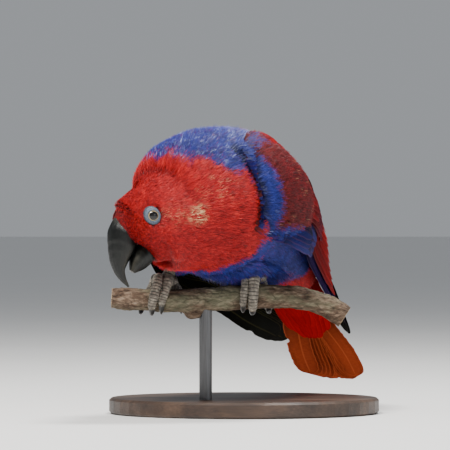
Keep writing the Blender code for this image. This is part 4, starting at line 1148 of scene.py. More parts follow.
def bill_piece(name, rows, look, node, lower=False):
    row, along, u = bill_frame(rows, 110)
    u = u[:, None]
    w = ring_turns(72)
    c, z = np.cos(w), np.sin(w)
    out = np.cross(HEAD_LEFT, along[:, 0:1] * HEAD_AHEAD + along[:, 2:3] * HEAD_UP)
    centre = head_point(row[:, 0], 0.0 * row[:, 0], row[:, 2])
    wide = row[:, 4:5] * (c * np.where(z > 0.0, 1.0 - 0.25 * z, 1.0))
    deep = row[:, 3:4] * z
    growth = 0.00010 * np.sin(u * 46.0 + 1.5 * np.sin(3.0 * w)) * (1.0 - u)
    growth = growth + 0.00006 * np.sin(17.0 * w + 9.0 * u)
    if not lower:
        notch = np.exp(-((u - 0.52) / 0.05) ** 2)
        deep = deep * (1.0 - 0.10 * (notch * np.clip(-z, 0.0, 1.0) ** 2 * (np.abs(c) > 0.2)))
    spoke = HEAD_LEFT * wide[..., None] - out[:, None] * deep[..., None]
    rings = centre[:, None] + spoke + unit(spoke) * growth[..., None]
    points, quads, caps = closed_tube(rings)
    rim = np.exp(-((np.abs(c) - 0.82) / 0.13) ** 2) * (z > -0.1 if lower else z < 0.1)
    edge = 0.75 * rim * smooth((u - 0.25) / 0.3) + 0.5 * smooth((u - 0.80) / 0.2)
    marks = stacked(u, w / FULL_TURN, np.clip(edge, 0.0, 1.0)).reshape(-1, 3)
    marks = np.concatenate([marks, [[0.0, 0.0, 0.0], [1.0, 0.0, 0.6]]])
    show(name, mesh_from(name, points, [quads, caps], {"horn": marks}), look, "bill_horn", node)


def eye_frame(hand):
    """Centre of an eyeball and its outward, forward and upward directions."""
    row = SPINE_LINE(SPINE_LINE.at[9] + EYE_FORWARD)
    width = row[3] * math.sqrt(1.0 - (EYE_UP / row[4]) ** 2)
    centre = head_point(EYE_FORWARD, hand * (width - EYE_INSET), EYE_UP)
    return centre, unit(HEAD_LEFT * hand), HEAD_AHEAD, HEAD_UP


def eye_piece(side, look):
    centre, out, ahead, up = eye_frame(HANDS[side])
    polar = np.linspace(0.03, math.pi - 0.03, 72)[:, None]
    w = ring_turns(64)
    radius = (EYE_RADIUS + 0.00035 * np.exp(-(polar / 0.55) ** 2))[..., None]
    ring = np.cos(w)[:, None] * ahead + np.sin(w)[:, None] * up
    rings = centre + radius * (np.cos(polar)[..., None] * out + np.sin(polar)[..., None] * ring)
    points, quads, caps = closed_tube(rings)
    if side == "left":
        quads, caps = quads[:, ::-1], caps[:, ::-1]
    from_axis = np.where(polar > math.pi / 2, 0.0055, EYE_RADIUS * np.sin(polar))
    marks = stacked(from_axis, w / FULL_TURN, 0.0).reshape(-1, 3)
    marks = np.concatenate([marks, [[0.0, 0.0, 0.0], [0.0055, 0.0, 0.0]]])
    name = "eyeball_" + side
    show(name, mesh_from(name, points, [quads, caps], {"eye": marks}), look, "eye_gloss",
         "eye_" + side)


LID_PROFILE = (
    # from the eye's axis, above the eyeball's centre, how far the ring is drawn to an oval
    (0.00316, 0.00370, 0.12), (0.00320, 0.00405, 0.15), (0.00332, 0.00425, 0.22),
    (0.00350, 0.00430, 0.38), (0.00374, 0.00422, 0.58), (0.00402, 0.00404, 0.80),
    (0.00434, 0.00376, 1.00), (0.00474, 0.00330, 1.00), (0.00520, 0.00255, 1.00),
    (0.00560, 0.00150, 1.00),
)


def lid_piece(side, look):
    """Ring of bare skin round the eye, folded along the opening."""
    centre, out, ahead, up = eye_frame(HANDS[side])
    rows, sides = 40, 120
    line = Line([(r, 0.0, h, oval) for r, h, oval in LID_PROFILE])
    s = np.linspace(0.0, line.length, rows)
    row, u = line(s), (s / line.length)[:, None]
    w = ring_turns(sides)
    folds = 0.00009 * np.sin(u * 34.0 + 0.7 * np.sin(3.0 * w)) * smooth(u / 0.2)
    folds = folds + 0.00005 * np.sin(31.0 * w + 6.0 * u)
    oval = row[:, 3:4]
    x = row[:, 0:1] * (1.0 - 0.06 * oval) * np.cos(w)
    y = row[:, 0:1] * (1.0 + 0.12 * oval) * np.sin(w) + 0.00025 * oval * np.cos(w)
    height = row[:, 2:3] + folds
    points = centre + ahead * x[..., None] + up * y[..., None] + out * height[..., None]
    quads = grid_faces(rows, sides, True)
    if side == "right":
        quads = quads[:, ::-1]
    marks = stacked(u, w / FULL_TURN, 0.0).reshape(-1, 3)
    name = "eyelid_" + side
    show(name, mesh_from(name, points.reshape(-1, 3), [quads], {"lid": marks}), look, "foot_skin")


# Skin under the coat

def skin_piece(look):
    s = np.linspace(0.0005, BODY_LENGTH - 0.0003, 300)
    ss, ww = np.meshgrid(s, ring_turns(160), indexing="ij")
    rings = skin_surface(ss, ww)
    rings[0] = rings[0].mean(axis=0) + (rings[0] - rings[0].mean(axis=0)) * 0.8
    skin = Joined()
    skin.add(rings, with_ends(coat_marks(rings, ss, ww).reshape(-1, 3)),
             with_ends(body_bake(ss, ww).reshape(-1, 2)), -1)
    for side in HANDS:
        polar, w, ball = ball_rings(40, 48, 0.04)
        flat = thigh_bake(side, w / FULL_TURN, polar).reshape(-1, 2)
        flat = np.concatenate([flat, [thigh_bake(side, 0.0, 0.0)] * 2])
        skin.add(ball * THIGH_CORE + (PERCH + np.array(FEET[side]["thigh"])),
                 np.tile((1.0, 0.0, 0.0), (len(flat), 1)), flat, -1)
    show("skin", skin.mesh("skin", "mark"), look, "red_feathers",
         "head", "neck", "torso", "rump", "thigh_left", "thigh_right")


# Coat

def round_the_eyes(roots, lies, length):
    """Feathers round an eye leave its lids bare and part in front of them."""
    keep = np.ones(len(roots), dtype=bool)
    for hand in (1.0, -1.0):
        centre, out, ahead, up = eye_frame(hand)
        rel = roots - centre
        x, y, h = rel @ ahead, rel @ up, rel @ out
        near = h > 0.0
        r = np.sqrt((x / 0.0042) ** 2 + (y / 0.0052) ** 2)
        keep &= ~(near & (r < 1.0))
        radial = unit(x[:, None] * ahead + y[:, None] * up)
        pull = np.where(near, np.clip(1.0 - (r - 1.0) / 1.0, 0.0, 1.0), 0.0)
        behind = np.sum(radial * lies, axis=1) > 0.3
        pull = np.where(behind, 0.25 * pull, pull)
        lies = unit(lies + radial * (2.0 * pull)[:, None])
        length = length * (1.0 - 0.45 * pull)
    return keep, lies, length


def coat_piece(name, look, slot, count, s_range, seed, length, width, lift, number, blade,
               turn_range=(-math.pi, math.pi), stray=0.10, curl=0.0):
    """Part of the coat; length, width, lift and blade are numbers or take place on the body."""
    s, angle = spread(count, s_range, turn_range, seed)
    rng = np.random.default_rng(seed + 500)
    roots = skin_surface(s, angle)
    normals, lies = body_normals(s, angle)
    reach = taken(length, s, angle) * rng.uniform(0.82, 1.16, count)
    good, lies, reach = round_the_eyes(roots, lies, reach)
    good &= ~inside_bill(roots, UPPER_BILL) & ~inside_bill(roots, LOWER_BILL)
    moved = np.linalg.norm(body_surface(s, angle, -skin_depth(s)) - roots, axis=1) > 0.0012
    reach = np.where(moved, 0.95 * reach, reach)
    rise = taken(lift, s, angle) * rng.uniform(0.80, 1.15, count)
    rise = np.where(moved, 1.1 * rise, rise)
    marks = coat_marks(roots, s, angle, rng)
    roots, normals, lies, reach, wide, rise, thin, marks, bake = (v[good] for v in (
        roots, normals, lies, reach, taken(width, s, angle), rise, taken(blade, s, angle), marks,
        body_bake(s, angle)))
    show(name, barbs(name, roots, normals, lies, reach, wide, rise, number, thin,
                     {"mark": marks}, bake, seed, curl, stray), look, slot)


def nape_share(s, angle):
    return np.exp(-((s - 0.189) / 0.009) ** 2) * smooth((np.sin(angle) + 0.1) / 0.4)


def hood_length(s, angle):
    return 0.0018 + 0.0044 * smooth((0.2150 - s) / 0.040) + 0.0022 * nape_share(s, angle)


def hood_lift(s, angle):
    lift = skin_depth(s) * (0.80 + 0.12 * smooth((0.20 - s) / 0.04))
    return lift + 0.0006 * nape_share(s, angle)


def mantle_share(s, angle):
    return (smooth((np.sin(angle) - 0.15) / 0.5) * smooth((s - 0.085) / 0.03)
            * smooth((0.175 - s) / 0.015))


def body_length_of(s, angle):
    return 0.0066 + 0.0026 * mantle_share(s, angle)


def body_lift(s, angle):
    return skin_depth(s) * (0.88 + 0.16 * mantle_share(s, angle))


def thigh_coat(side, look):
    count, golden_turn = 1500, 2.399963
    k = np.arange(count)
    z, w = 0.95 - 1.85 * (k + 0.5) / count, k * golden_turn
    ball = stacked(np.sqrt(1.0 - z * z) * np.cos(w), np.sqrt(1.0 - z * z) * np.sin(w), z)
    roots = PERCH + np.array(FEET[side]["thigh"]) + ball * THIGH_CORE
    normals = unit(ball / THIGH_RADII)
    down = np.array((0.0, 0.25, -1.0))
    lies = unit(down - normals * (normals @ down)[:, None])
    blue = (np.random.default_rng(41).random(count) < 0.93).astype(float)
    name = "coat_thigh_" + side
    show(name, barbs(name, roots, normals, lies, 0.0058, 0.0030, 0.0020, 9, 0.00042,
                     {"mark": stacked(blue, 0.0, 0.0)},
                     thigh_bake(side, (w / FULL_TURN) % 1.0, np.arccos(z)), 43),
         look, "blue_feathers")


# Wings

FLIGHT_GROUPS = (7, 4, 3)


def places_across(*groups):
    """Places of primaries, secondaries and tertials: the first and the step of each group."""
    return [start + step * k for (start, step), count in zip(groups, FLIGHT_GROUPS)
            for k in range(count)]


FRONT_PLACES = places_across((-0.0200, 0.0027), (0.0012, 0.0064), (0.0270, 0.0040))
REAR_PLACES = places_across((-0.0130, 0.0023), (0.0038, 0.0038), (0.0195, 0.0042))
PRIMARY_TIPS = (0.214, 0.232, 0.236, 0.226, 0.211, 0.196, 0.181)
TERTIAL_TIPS = np.array((0.152, 0.150, 0.146, 0.141, 0.135))
# Arm: distance along the wing, lower and upper edge, height, share of the wing's reach up
ARM = np.array((
    (-0.008, -0.004, 0.014, 0.0014, 0.0), (0.001, -0.013, 0.028, 0.0044, 0.5),
    (0.016, -0.020, 0.036, 0.0062, 1.0), (0.036, -0.021, 0.038, 0.0062, 1.0),
    (0.054, -0.017, 0.034, 0.0054, 1.0), (0.068, -0.008, 0.027, 0.0042, 0.5),
))
# Coverts: count, first and last place across, root, tip, change of tip, half width,
# height at root and tip, steepness, blue share, bright share
COVERT_TIERS = (
    (8, -0.0178, -0.0080, 0.044, 0.080, 0.000, 0.0046, 0.0050, 0.0070, -0.20, 0.90, 0.0),
    (11, 0.0000, 0.0270, 0.046, 0.097, -0.004, 0.0056, 0.0048, 0.0070, -0.15, 0.10, 0.10),
    (11, 0.0000, 0.0275, 0.036, 0.076, -0.004, 0.0056, 0.0054, 0.0077, -0.12, 0.0, 0.15),
    (4, -0.0205, -0.0130, 0.018, 0.066, -0.006, 0.0042, 0.0052, 0.0084, -0.16, 0.95, 0.0),
    (10, -0.0125, 0.0130, 0.056, 0.156, -0.046, 0.0036, 0.0050, 0.0072, -0.18, 0.0, 0.55),
)


def across_wing(k, a):
    front = np.interp(k, np.arange(len(FRONT_PLACES)), FRONT_PLACES)
    rear = np.interp(k, np.arange(len(REAR_PLACES)), REAR_PLACES)


def across_wing(k, a):
    front = np.interp(k, np.arange(14), FRONT_PLACES)
    rear = np.interp(k, np.arange(14), REAR_PLACES)
    t = front + (rear - front) * smooth(a / FOLD)
    return t * (1.0 - 0.30 * np.clip((a - FOLD) / 0.08, 0.0, 1.0))


def flight_slope(k, a):
    spacing = 0.5 * (across_wing(k + 1.0, a) - across_wing(k - 1.0, a))
    return -0.0010 / np.maximum(0.0022, spacing)


def arm_edges(a, side):
    """Lower and upper edge of the fleshy arm across the wing."""
    return (np.interp(a, ARM[:, 0], ARM[:, 1]),
            np.interp(a, ARM[:, 0], ARM[:, 2] + REACH_UP[side] * ARM[:, 4]))


def arm_height(a, t, side):
    """Height of the fleshy arm over the wing's sheet."""
    low, high = arm_edges(a, side)
    depth = np.interp(a, ARM[:, 0], ARM[:, 3])
    x = np.clip((t - 0.5 * (low + high)) / (0.5 * (high - low)), -1.0, 1.0)
    fall = np.where(x > 0, (1.0 - x * x) * (1.0 - 0.30 * x), 1.0 + x ** 3)
    inside = (a > -0.009) & (a < 0.075)
    return np.where(inside, 0.0008 + depth * fall, 0.0008)


def flight_feathers(vanes, sheet):
    """Primaries, secondaries and tertials."""
    def tier(k, root, tip, low, high, lift, zone, rows, split):
        k = k[:, None]
        vanes.add(sheet, root, tip, lambda a: across_wing(k, a), low, high, lift,
                  lambda a: flight_slope(k, a), blade_width, zone, rows, 13, split=split)

    k, ten, five = np.linspace(0.0, 6.0, 10), np.arange(10), np.arange(5)
    tier(k, 0.050 - 0.004 * k, np.interp(k, np.arange(len(PRIMARY_TIPS)), PRIMARY_TIPS),
         0.0048, 0.0076, 0.0040,
         lambda u, v, i: (np.where(v < 0.05, 0.85, 0.15) * (u < 0.93),
                          np.where(v < 0.05, 0.25, 0.95) + 0.5 * smooth((u - 0.75) / 0.2), 0.0),
         44, 0.7)
    tier(np.linspace(6.55, 10.1, 10), 0.030 + 0.0016 * ten, 0.148 - 0.0010 * ten,
         0.0058, 0.0076, 0.0040,
         lambda u, v, i: (np.where(v < 0.1, 0.35, 0.10), np.where(v < 0.1, 0.20, 0.60), 0.10),
         32, 0.6)
    tier(np.linspace(10.8, 13.0, 5), 0.050 + 0.001 * five, TERTIAL_TIPS, 0.0072, 0.0080, 0.0041,
         lambda u, v, i: (np.where((v < -0.1) & (i < 2), 0.35, 0.0), 0.0,
                          0.35 * (np.abs(v) > 0.6) + 0.25 * (i > 2)), 34, 0.6)


def coverts(vanes, sheet):
    for count, first, last, root, tip, change, half, rise, top, steep, sea, vivid in COVERT_TIERS:
        k = np.arange(count)
        t = np.linspace(first, last, count)[:, None]
        end = tip + change * np.linspace(0.0, 1.0, count) + 0.0020 * np.cos(k * 3.7)

        def height(a, over):
            raised = rise + (top - rise) * smooth((a - root) / (0.7 * (tip - root)))
            return raised - 0.0030 * smooth((over - 0.008) / 0.020)

        def zone(u, v, i):
            return (sea, sea * (0.25 + 0.60 * (v > 0.0) * (u > 0.3)),
                    vivid * (0.4 + 0.6 * smooth((u - 0.5) / 0.4)))

        vanes.add(sheet, root + 0.0015 * np.cos(k * 2.1), end,
                  lambda a: t * (1.0 - 0.10 * smooth(a / 0.10)), half * 0.95, half * 1.15,
                  height, steep, covert_width, zone, 18, 11)


def lesser_coverts(vanes, sheet, side):
    """Small coverts, shingled over the arm."""
    count = 15
    for j, a0 in enumerate(np.linspace(0.040, -0.008, 11)):
        low, high = arm_edges(a0 + 0.008, side)
        t = np.linspace(low + 0.0004, high - 0.0006, count)[:, None] + (j % 2) * 0.0012
        length = 0.0150 + 0.0040 * smooth((a0 - 0.005) / 0.03)
        start = a0 + 0.0010 * np.cos(np.arange(count) * 2.3 + j)

        def height(a, over):
            raised = 0.0002 + 0.0015 * smooth((a - a0) / (0.8 * length))
            return arm_height(np.minimum(a, 0.066), over, side) + raised

        def zone(u, v, i):
            place = t[i, 0]
            bright = smooth((place - 0.012) / 0.01) * smooth((u - 0.5) / 0.4)
            return np.where((place < -0.0125) | (j > 9), 0.92, 0.0), 0.0, 0.05 + 0.20 * bright

        vanes.add(sheet, start, start + length, lambda a: t + 0.0 * a, 0.0034, 0.0036, height,
                  -0.05, covert_width, zone, 10, 7, split=0.3, camber=0.08)


def scapulars(vanes, sheet, side):
    """Two layers from the shoulder over the tertials."""
    x = np.linspace(0.0, 1.0, 7)[:, None]
    for layer in range(2):
        root = 0.006 + 0.040 * x + 0.004 * layer
        tip = 0.054 + 0.078 * x - 0.012 * layer
        t0 = 0.0320 - 0.0020 * x + REACH_UP[side] + 0.003 * layer
        t1 = 0.0375 - 0.0100 * x + REACH_UP[side] + 0.004 * layer

        def height(a, over):
            risen = smooth((a - root[..., None]) / (tip - root)[..., None])
            return 0.0016 + 0.0026 * risen - 0.0004 * x[..., None] + 0.0005 * layer

        vanes.add(sheet, root[:, 0], tip[:, 0],
                  lambda a: t0 + (t1 - t0) * smooth((a - root) / (tip - root)),
                  0.0066, 0.0070, height, -0.08, covert_width,
                  lambda u, v, i: (0.0, 0.0, 0.05 + 0.45 * smooth((u - 0.6) / 0.3)), 24, 11)


def wing_strands(sheet, side, coat):
    """Fine strands over the arm, the shoulder and the wing's bend."""
    def piece(kind, slot, roots, normals, lies, length, width, lift, number, blade, marks,
              bake, seed, stray, curl=0.0):
        name = "coat_%s_%s" % (kind, side)
        show(name, barbs(name, roots, normals, lies, length, width, lift, number, blade,
                         {"mark": marks}, bake, seed, curl, stray), coat, slot)

    def lying(a, t, low, high):
        roots = sheet(a, t, low)
        return roots, unit(sheet(a, t, high) - roots), unit(sheet(a + 0.001, t, low) - roots)

    rng = np.random.default_rng(75 if side == "left" else 76)
    count = 2600
    a = -0.0075 + 0.056 * rng.random(count) ** 1.25
    low, high = arm_edges(a, side)
    t = low + (high - low) * rng.random(count)
    level = arm_height(a, t, side) - 0.0002
    roots = sheet(a, t, level)
    lies = unit(sheet(a + 0.001, t, arm_height(a + 0.001, t, side)) - roots)
    over = unit(sheet(a, t + 0.0005, arm_height(a, t + 0.0005, side)) - roots)
    normals = unit(np.cross(lies, over))
    outward = np.sum(normals * (sheet(a, t, level + 0.002) - roots), axis=1)
    normals = normals * np.sign(outward)[:, None]
    sea = smooth((0.0030 + 0.0016 * rng.normal(size=count) - a) / 0.002)
    sea = np.maximum(sea, smooth((-0.0120 + 0.001 * rng.normal(size=count) - t) / 0.001))
    # Painted highlights on a few of the arm's strands
    pale = np.where(rng.random(count) < 0.006, 0.25, 0.0)
    piece("wing", "maroon_feathers", roots, normals, lies, 0.0058, 0.0026, 0.0024, 9, 0.00034,
          stacked(sea, 1.0 - sea, pale), stacked(0.05 + 8.0 * (a + 0.0075), 0.5 + 8.0 * t),
          77, 0.14)

    count = 1500
    a = 0.002 + 0.060 * rng.random(count)
    t = arm_edges(a, side)[1] - 0.005 + 0.014 * rng.random(count)
    sea = (rng.random(count) < 0.55 * smooth((0.030 - a) / 0.02)).astype(float)
    piece("shoulder", "maroon_feathers", *lying(a, t, 0.0010, 0.0030), 0.0085, 0.0032, 0.0024,
          10, 0.00036, stacked(sea, 1.0 - sea, 0.0), stacked(0.05 + 8.0 * a, 0.5 + 8.0 * t),
          78, 0.22)

    a = -0.0072 + 0.0080 * rng.random(count)
    t = -0.016 + (0.056 + REACH_UP[side]) * rng.random(count)
    sea = (a + 0.0010 * rng.normal(size=count) > -0.0052) | (t > 0.020)
    # Painted highlights on a few of the bend's blue strands
    pale = np.where(rng.random(count) < 0.03, 0.5, 0.0)
    piece("bend", "blue_feathers", *lying(a, t, -0.0022, 0.0004), 0.0088, 0.0034,
          0.0036 + 0.0014 * rng.random(count), 10, 0.00038, stacked(sea, 0.0, pale * sea),
          stacked(0.2 + 8.0 * a, 0.5 + 8.0 * t), 79, 0.20, -0.12)


def wing_arm(sheet, side, look):
    """Arm under its coverts."""
    a = np.linspace(-0.008, 0.068, 40)[:, None]
    low, high = arm_edges(a, side)
    over = 0.5 * (low + high) + 0.5 * (high - low) * np.linspace(-1.0, 1.0, 36)
    top = sheet(a, over, arm_height(a, over, side) - 0.0004)
    under = sheet(a, over, 0.0003)
    points, quads, caps = closed_tube(np.concatenate([top, under[:, ::-1]], axis=1))
    spot = np.concatenate([stacked(a, over), stacked(a, over[:, ::-1] + 0.1)], axis=1)
    flat = with_ends((np.array((0.1, 0.3)) + (6.0, 4.0) * spot).reshape(-1, 2))
    name = "wing_arm_" + side
    show(name, mesh_from(name, points, [quads, caps],
                         {"mark": np.tile((0.0, 1.0, 0.0), (len(points), 1))}, flat),
         look, "maroon_feathers")


def wing_pieces(side, look, arm_look, coat):
    sheet = WingSheet(LEFT_WING if side == "left" else RIGHT_WING, HANDS[side])
    vanes = Vanes("feathers_wing_" + side, 71 if side == "left" else 72)
    flight_feathers(vanes, sheet)
    coverts(vanes, sheet)
    lesser_coverts(vanes, sheet, side)
    scapulars(vanes, sheet, side)
    vanes.build(look, "maroon_feathers", "wing_" + side)
    wing_strands(sheet, side, coat)
    wing_arm(sheet, side, arm_look)


# Tail

TAIL_ALONG = unit(TAIL_DIRECTION)
TAIL_LEFT = unit(np.cross(UP, -TAIL_ALONG))
TAIL_UP = np.cross(-TAIL_ALONG, TAIL_LEFT)
# Coverts over and under the tail: count, root, tip, half width, level
UPPER_COVERTS = ((8, -0.014, 0.038, 0.0058, 0.0066), (7, -0.020, 0.024, 0.0056, 0.0080),
                 (6, -0.026, 0.010, 0.0056, 0.0090))
UNDER_COVERTS = ((8, -0.014, 0.052, 0.0062, 0.0070), (8, -0.020, 0.036, 0.0060, 0.0084),
                 (7, -0.027, 0.020, 0.0060, 0.0096))
# Core of the tail: distance along, half width, half depth
TAIL_CORE = ((-0.004, 0.0100, 0.0060), (0.008, 0.0112, 0.0056), (0.020, 0.0112, 0.0044),
             (0.032, 0.0090, 0.0022), (0.040, 0.0050, 0.0010))


def tail_surface(s, t, d):
    s, t, d = (v[..., None] for v in alike(s, t, d))
    return PERCH + TAIL_ROOT + TAIL_ALONG * s + TAIL_LEFT * t + TAIL_UP * (d - 0.45 * s * s)


def tail_pieces(look, cover_look, core_look):
    vanes = Vanes("feathers_tail", 81)
    i = np.arange(6)[:, None]
    for hand in (1.0, -1.0):
        end = TAIL_LENGTH - 0.0028 * i[:, 0] - (0.0 if hand > 0 else 0.0015)
        level = 0.0022 - 0.0010 * i + (0.0010 if hand > 0 else 0.0) * (i == 0)

        def place(a):
            out = 0.0034 + (0.0034 + 0.0020 * i - 0.0034) * smooth(a / 0.09)
            return hand * (out + 0.020 * a * (i > 0))

        inner, outer = np.full(6, 0.0082), np.full(6, 0.0085)
        inner[0] = 0.0075
        low, high = (inner, outer) if hand > 0 else (outer, inner)
        vanes.add(tail_surface, 0.010 + 0.001 * i[:, 0], end, place, low, high,
                  lambda a, t: level[..., None] + 0.0 * a, -hand * 0.03, blade_width,
                  lambda u, v, i: (0.0, 0.0, 0.25 + 0.75 * smooth((u - 0.55) / 0.35)),
                  46, 15, split=0.8, camber=0.03, sweep=0.7)
    vanes.build(look, "tail_feathers", "tail")

    vanes = Vanes("feathers_tail_coverts", 82)
    for sign, bright, tiers in ((1.0, 0.35, UPPER_COVERTS), (-1.0, 1.0, UNDER_COVERTS)):
        for count, root, tip, half, level in tiers:
            k, x = np.arange(count), np.linspace(-1.0, 1.0, count)[:, None]

            def height(a, over):
                rise = smooth((a - root) / (0.5 * (tip - root)))
                return sign * (level - 0.0012 + 0.0012 * rise - 0.0014 * x[..., None] ** 2)

            vanes.add(tail_surface, root + 0.001 * np.cos(k * 1.9),
                      tip - 0.010 * x[:, 0] ** 2 + 0.0015 * np.cos(k * 2.7),
                      lambda a: x * 0.0105 * (1.0 + 3.0 * a), half, half, height,
                      lambda a: -sign * 0.12 * x + 0.0 * a, covert_width,
                      lambda u, v, i: (0.0, 0.0, bright * (0.6 + 0.4 * smooth((u - 0.3) / 0.4))),
                      20, 11, split=0.6, camber=sign * 0.05)
    vanes.build(cover_look, "red_feathers")

    w = ring_turns(40)
    points, quads, caps = closed_tube(np.array([
        tail_surface(s, wide * np.cos(w), deep * np.sin(w) - 0.0004)
        for s, wide, deep in TAIL_CORE]))
    flat = np.clip(0.5 + 8.0 * (points[:, :2] - points[:, :2].mean(axis=0)), 0.0, 1.0)
    show("tail_core", mesh_from("tail_core", points, [quads, caps],
                                {"mark": np.tile((0.0, 0.4, 0.0), (len(points), 1))}, flat),
         core_look, "red_feathers")


# Feet, branch and stand

def perch_row(x):
    rows = np.array(PERCH_RUN)
    return np.interp(x, rows[:, 0], rows[:, 1]), np.interp(x, rows[:, 0], rows[:, 2])


def round_perch(x, degrees, clear):
    """Points at an angle round the perch: 0 on top, 90 in front, -90 behind."""
    z, radius = perch_row(x)
    turn = np.radians(degrees)
    return PERCH + stacked(x, -np.sin(turn) * (radius + clear), z + np.cos(turn) * (radius + clear))


def horn_tube(name, path, radii, look, node):
    sides = 24
    points, quads, caps = closed_tube(tube_rings(path, radii, sides, squash=0.82))
    u = np.linspace(0.0, 1.0, len(path))[:, None]
    marks = stacked(u, np.arange(sides) / sides, 0.0).reshape(-1, 3)
    marks = np.concatenate([marks, [[0.0, 0.0, 0.0], [1.0, 0.0, 0.0]]])
    show(name, mesh_from(name, points, [quads, caps], {"horn": marks}), look, "claw_horn", node)


def scute_tube(foot, path, thick, scutes, u, valley, ridge):
    """Tube with raised scutes; its marks tell the scute, the outer side and the place along."""
    radii = thick * (valley + ridge * np.abs(np.sin(math.pi * scutes * u)) ** 0.6)
    rings = tube_rings(path, radii, 30)
    away = unit((path - PERCH) * (0.0, 1.0, 1.0))
    outer = 0.5 + 0.5 * np.sum(unit(rings - path[:, None]) * away[:, None], axis=-1)
    foot.add(rings, with_ends(stacked((scutes * u)[:, None], outer, u[:, None]).reshape(-1, 3)))


def foot_pieces(side, look, horn):
    """Scaled shank, sole and toes in one piece, and the claws."""
    data = FEET[side]
    z, radius = perch_row(data["x"])
    top = PERCH + np.array((data["x"], 0.001, z + radius))
    hip = PERCH + np.array(data["thigh"])
    foot = Joined()
    for label, x0, x1, sweep, scale in data["toes"]:
        u = np.linspace(0.0, 1.0, 70)
        reach = abs(math.radians(sweep)) * 0.0105 + abs(x1 - x0)
        scutes = max(5, int(round(reach / 0.0019)))
        thick = TOE_RADIUS * scale * (1.08 - 0.26 * u)
        thick = thick * (1.0 + 0.06 * np.exp(-((u - 0.20) / 0.07) ** 2)
                         + 0.06 * np.exp(-((u - 0.60) / 0.07) ** 2))
        thick = thick * (1.0 - 0.30 * smooth((u - 0.90) / 0.10))
        hand = 1.0 if sweep > 0 else -1.0
        start = 8.0 * hand
        path = round_perch(x0 + (x1 - x0) * smooth(u), start + (sweep - start) * u,
                           thick + 0.0004 + 0.0034 * (1.0 - u) ** 2)
        scute_tube(foot, path, thick, scutes, u, 0.93, 0.09)

        c = np.linspace(-0.25, 1.0, 34)
        out = np.clip(c, 0.0, 1.0)
        bend = math.degrees(CLAW_LENGTH * scale / (perch_row(x1)[1] + 0.003))
        path = round_perch(x1 + (x1 - x0) * 0.10 * out, sweep + hand * (3.8 + c * bend),
                           0.0026 * scale - 0.0009 * c + 0.0004)
        horn_tube("horn_%s_%s" % (side, label), path,
                  TOE_RADIUS * scale * 0.62 * (1.0 - 0.90 * out ** 1.2), horn,
                  "claw_%s_%s" % (side, label))
    u = np.linspace(0.0, 1.0, 60)
    ankle = top + np.array((0.0, 0.0, 0.0030))
    path = ankle + (top + (hip - top) * 0.80 - ankle) * u[:, None]
    scute_tube(foot, path, 0.0044 - 0.0007 * np.sin(math.pi * u), 9, u, 0.95, 0.06)
    ball = ball_rings(30, 40, 0.05)[2]
    sole = ball * (0.0082, 0.0064, 0.0042) + top + np.array((0.0, -0.0005, 0.0050))
    foot.add(sole, np.tile((0.5, 0.2, 0.5), (30 * 40 + 2, 1)))
    name = "foot_skin_" + side
    show(name, foot.mesh(name, "scute"), look, "foot_skin", "foot_" + side)


def branch_piece(bark, sawn):
    sides = 160
    line = Line([(r[0], 0.0, r[1], r[2]) for r in PERCH_RUN])
    s = np.linspace(0.0, line.length, 420)
    row = line(s)
    path = PERCH + stacked(row[:, 0], 0.0012 * np.sin(1.7 + 90.0 * row[:, 0]), row[:, 2])
    radius = row[:, 3] * (1.0 + 0.035 * np.sin(300.0 * row[:, 0] + 0.5))
    rings = tube_rings(path, radius, sides)
    spoke = unit(rings - path[:, None])
    rough = sum(height * ripple(rings * (stretch, 1.0, 1.0), size, seed)
                for height, stretch, size, seed in BARK_RIPPLES)
    knob = PERCH + np.array(KNOB)
    reach = np.linalg.norm(rings - knob, axis=-1)
    facing = unit(knob - path[np.argmin(np.abs(path[:, 0] - knob[0]))])
    swell = 0.0036 * np.exp(-((reach - 0.0035) / 0.0040) ** 2)
    swell = swell * (np.sum(spoke * facing, axis=-1) > 0.2) * smooth((0.0085 - reach) / 0.003)
    feet = np.zeros(len(s))
    for data in FEET.values():
        for toe in data["toes"]:
            x = path[:, 0] - 0.5 * (toe[1] + toe[2]) - PERCH[0]
            feet = np.maximum(feet, np.exp(-(x / 0.006) ** 4))
    rings = rings + spoke * (rough * (1.0 - 0.6 * feet[:, None]) + swell)[..., None]
    points, quads, caps = closed_tube(rings)
    show("branch_bark", mesh_from("branch_bark", points, [quads, caps]), bark, "bark",
         "perch_branch")
    steps = np.array((0.0, 0.25, 0.5, 0.75, 0.93, 0.985))[:, None, None]
    ways = line.direction(s)
    for k, (end, away, name) in enumerate(((0, -ways[0], "branch_end_right"),
                                           (-1, ways[-1], "branch_end_left"))):
        ring = rings[end]
        centre = ring.mean(axis=0)
        grid = centre + (ring[None] - centre) * steps
        grid = grid + away * (0.00025 + 0.00008 * ripple(grid, 0.003, 21 + k))[..., None]
        grid = np.concatenate([grid, ring[None]])
        far = np.linalg.norm(grid - centre, axis=-1)
        marks = stacked(far, np.arange(sides) / sides, 0.0).reshape(-1, 3)
        quads = grid_faces(len(grid), sides, True)
        q = grid.reshape(-1, 3)[quads[500]]
        if np.dot(np.cross(q[1] - q[0], q[3] - q[0]), away) < 0.0:
            quads = quads[:, ::-1]
        show(name, mesh_from(name, grid.reshape(-1, 3), [quads], {"ring": marks}), sawn, "bark")


def dress_stand():
    for node, look in (("stand_base", stand_wood_look()), ("stand_rod", stand_metal_look())):
        for slot in bpy.data.objects[node].material_slots:
            slot.material = look


# Making the bird

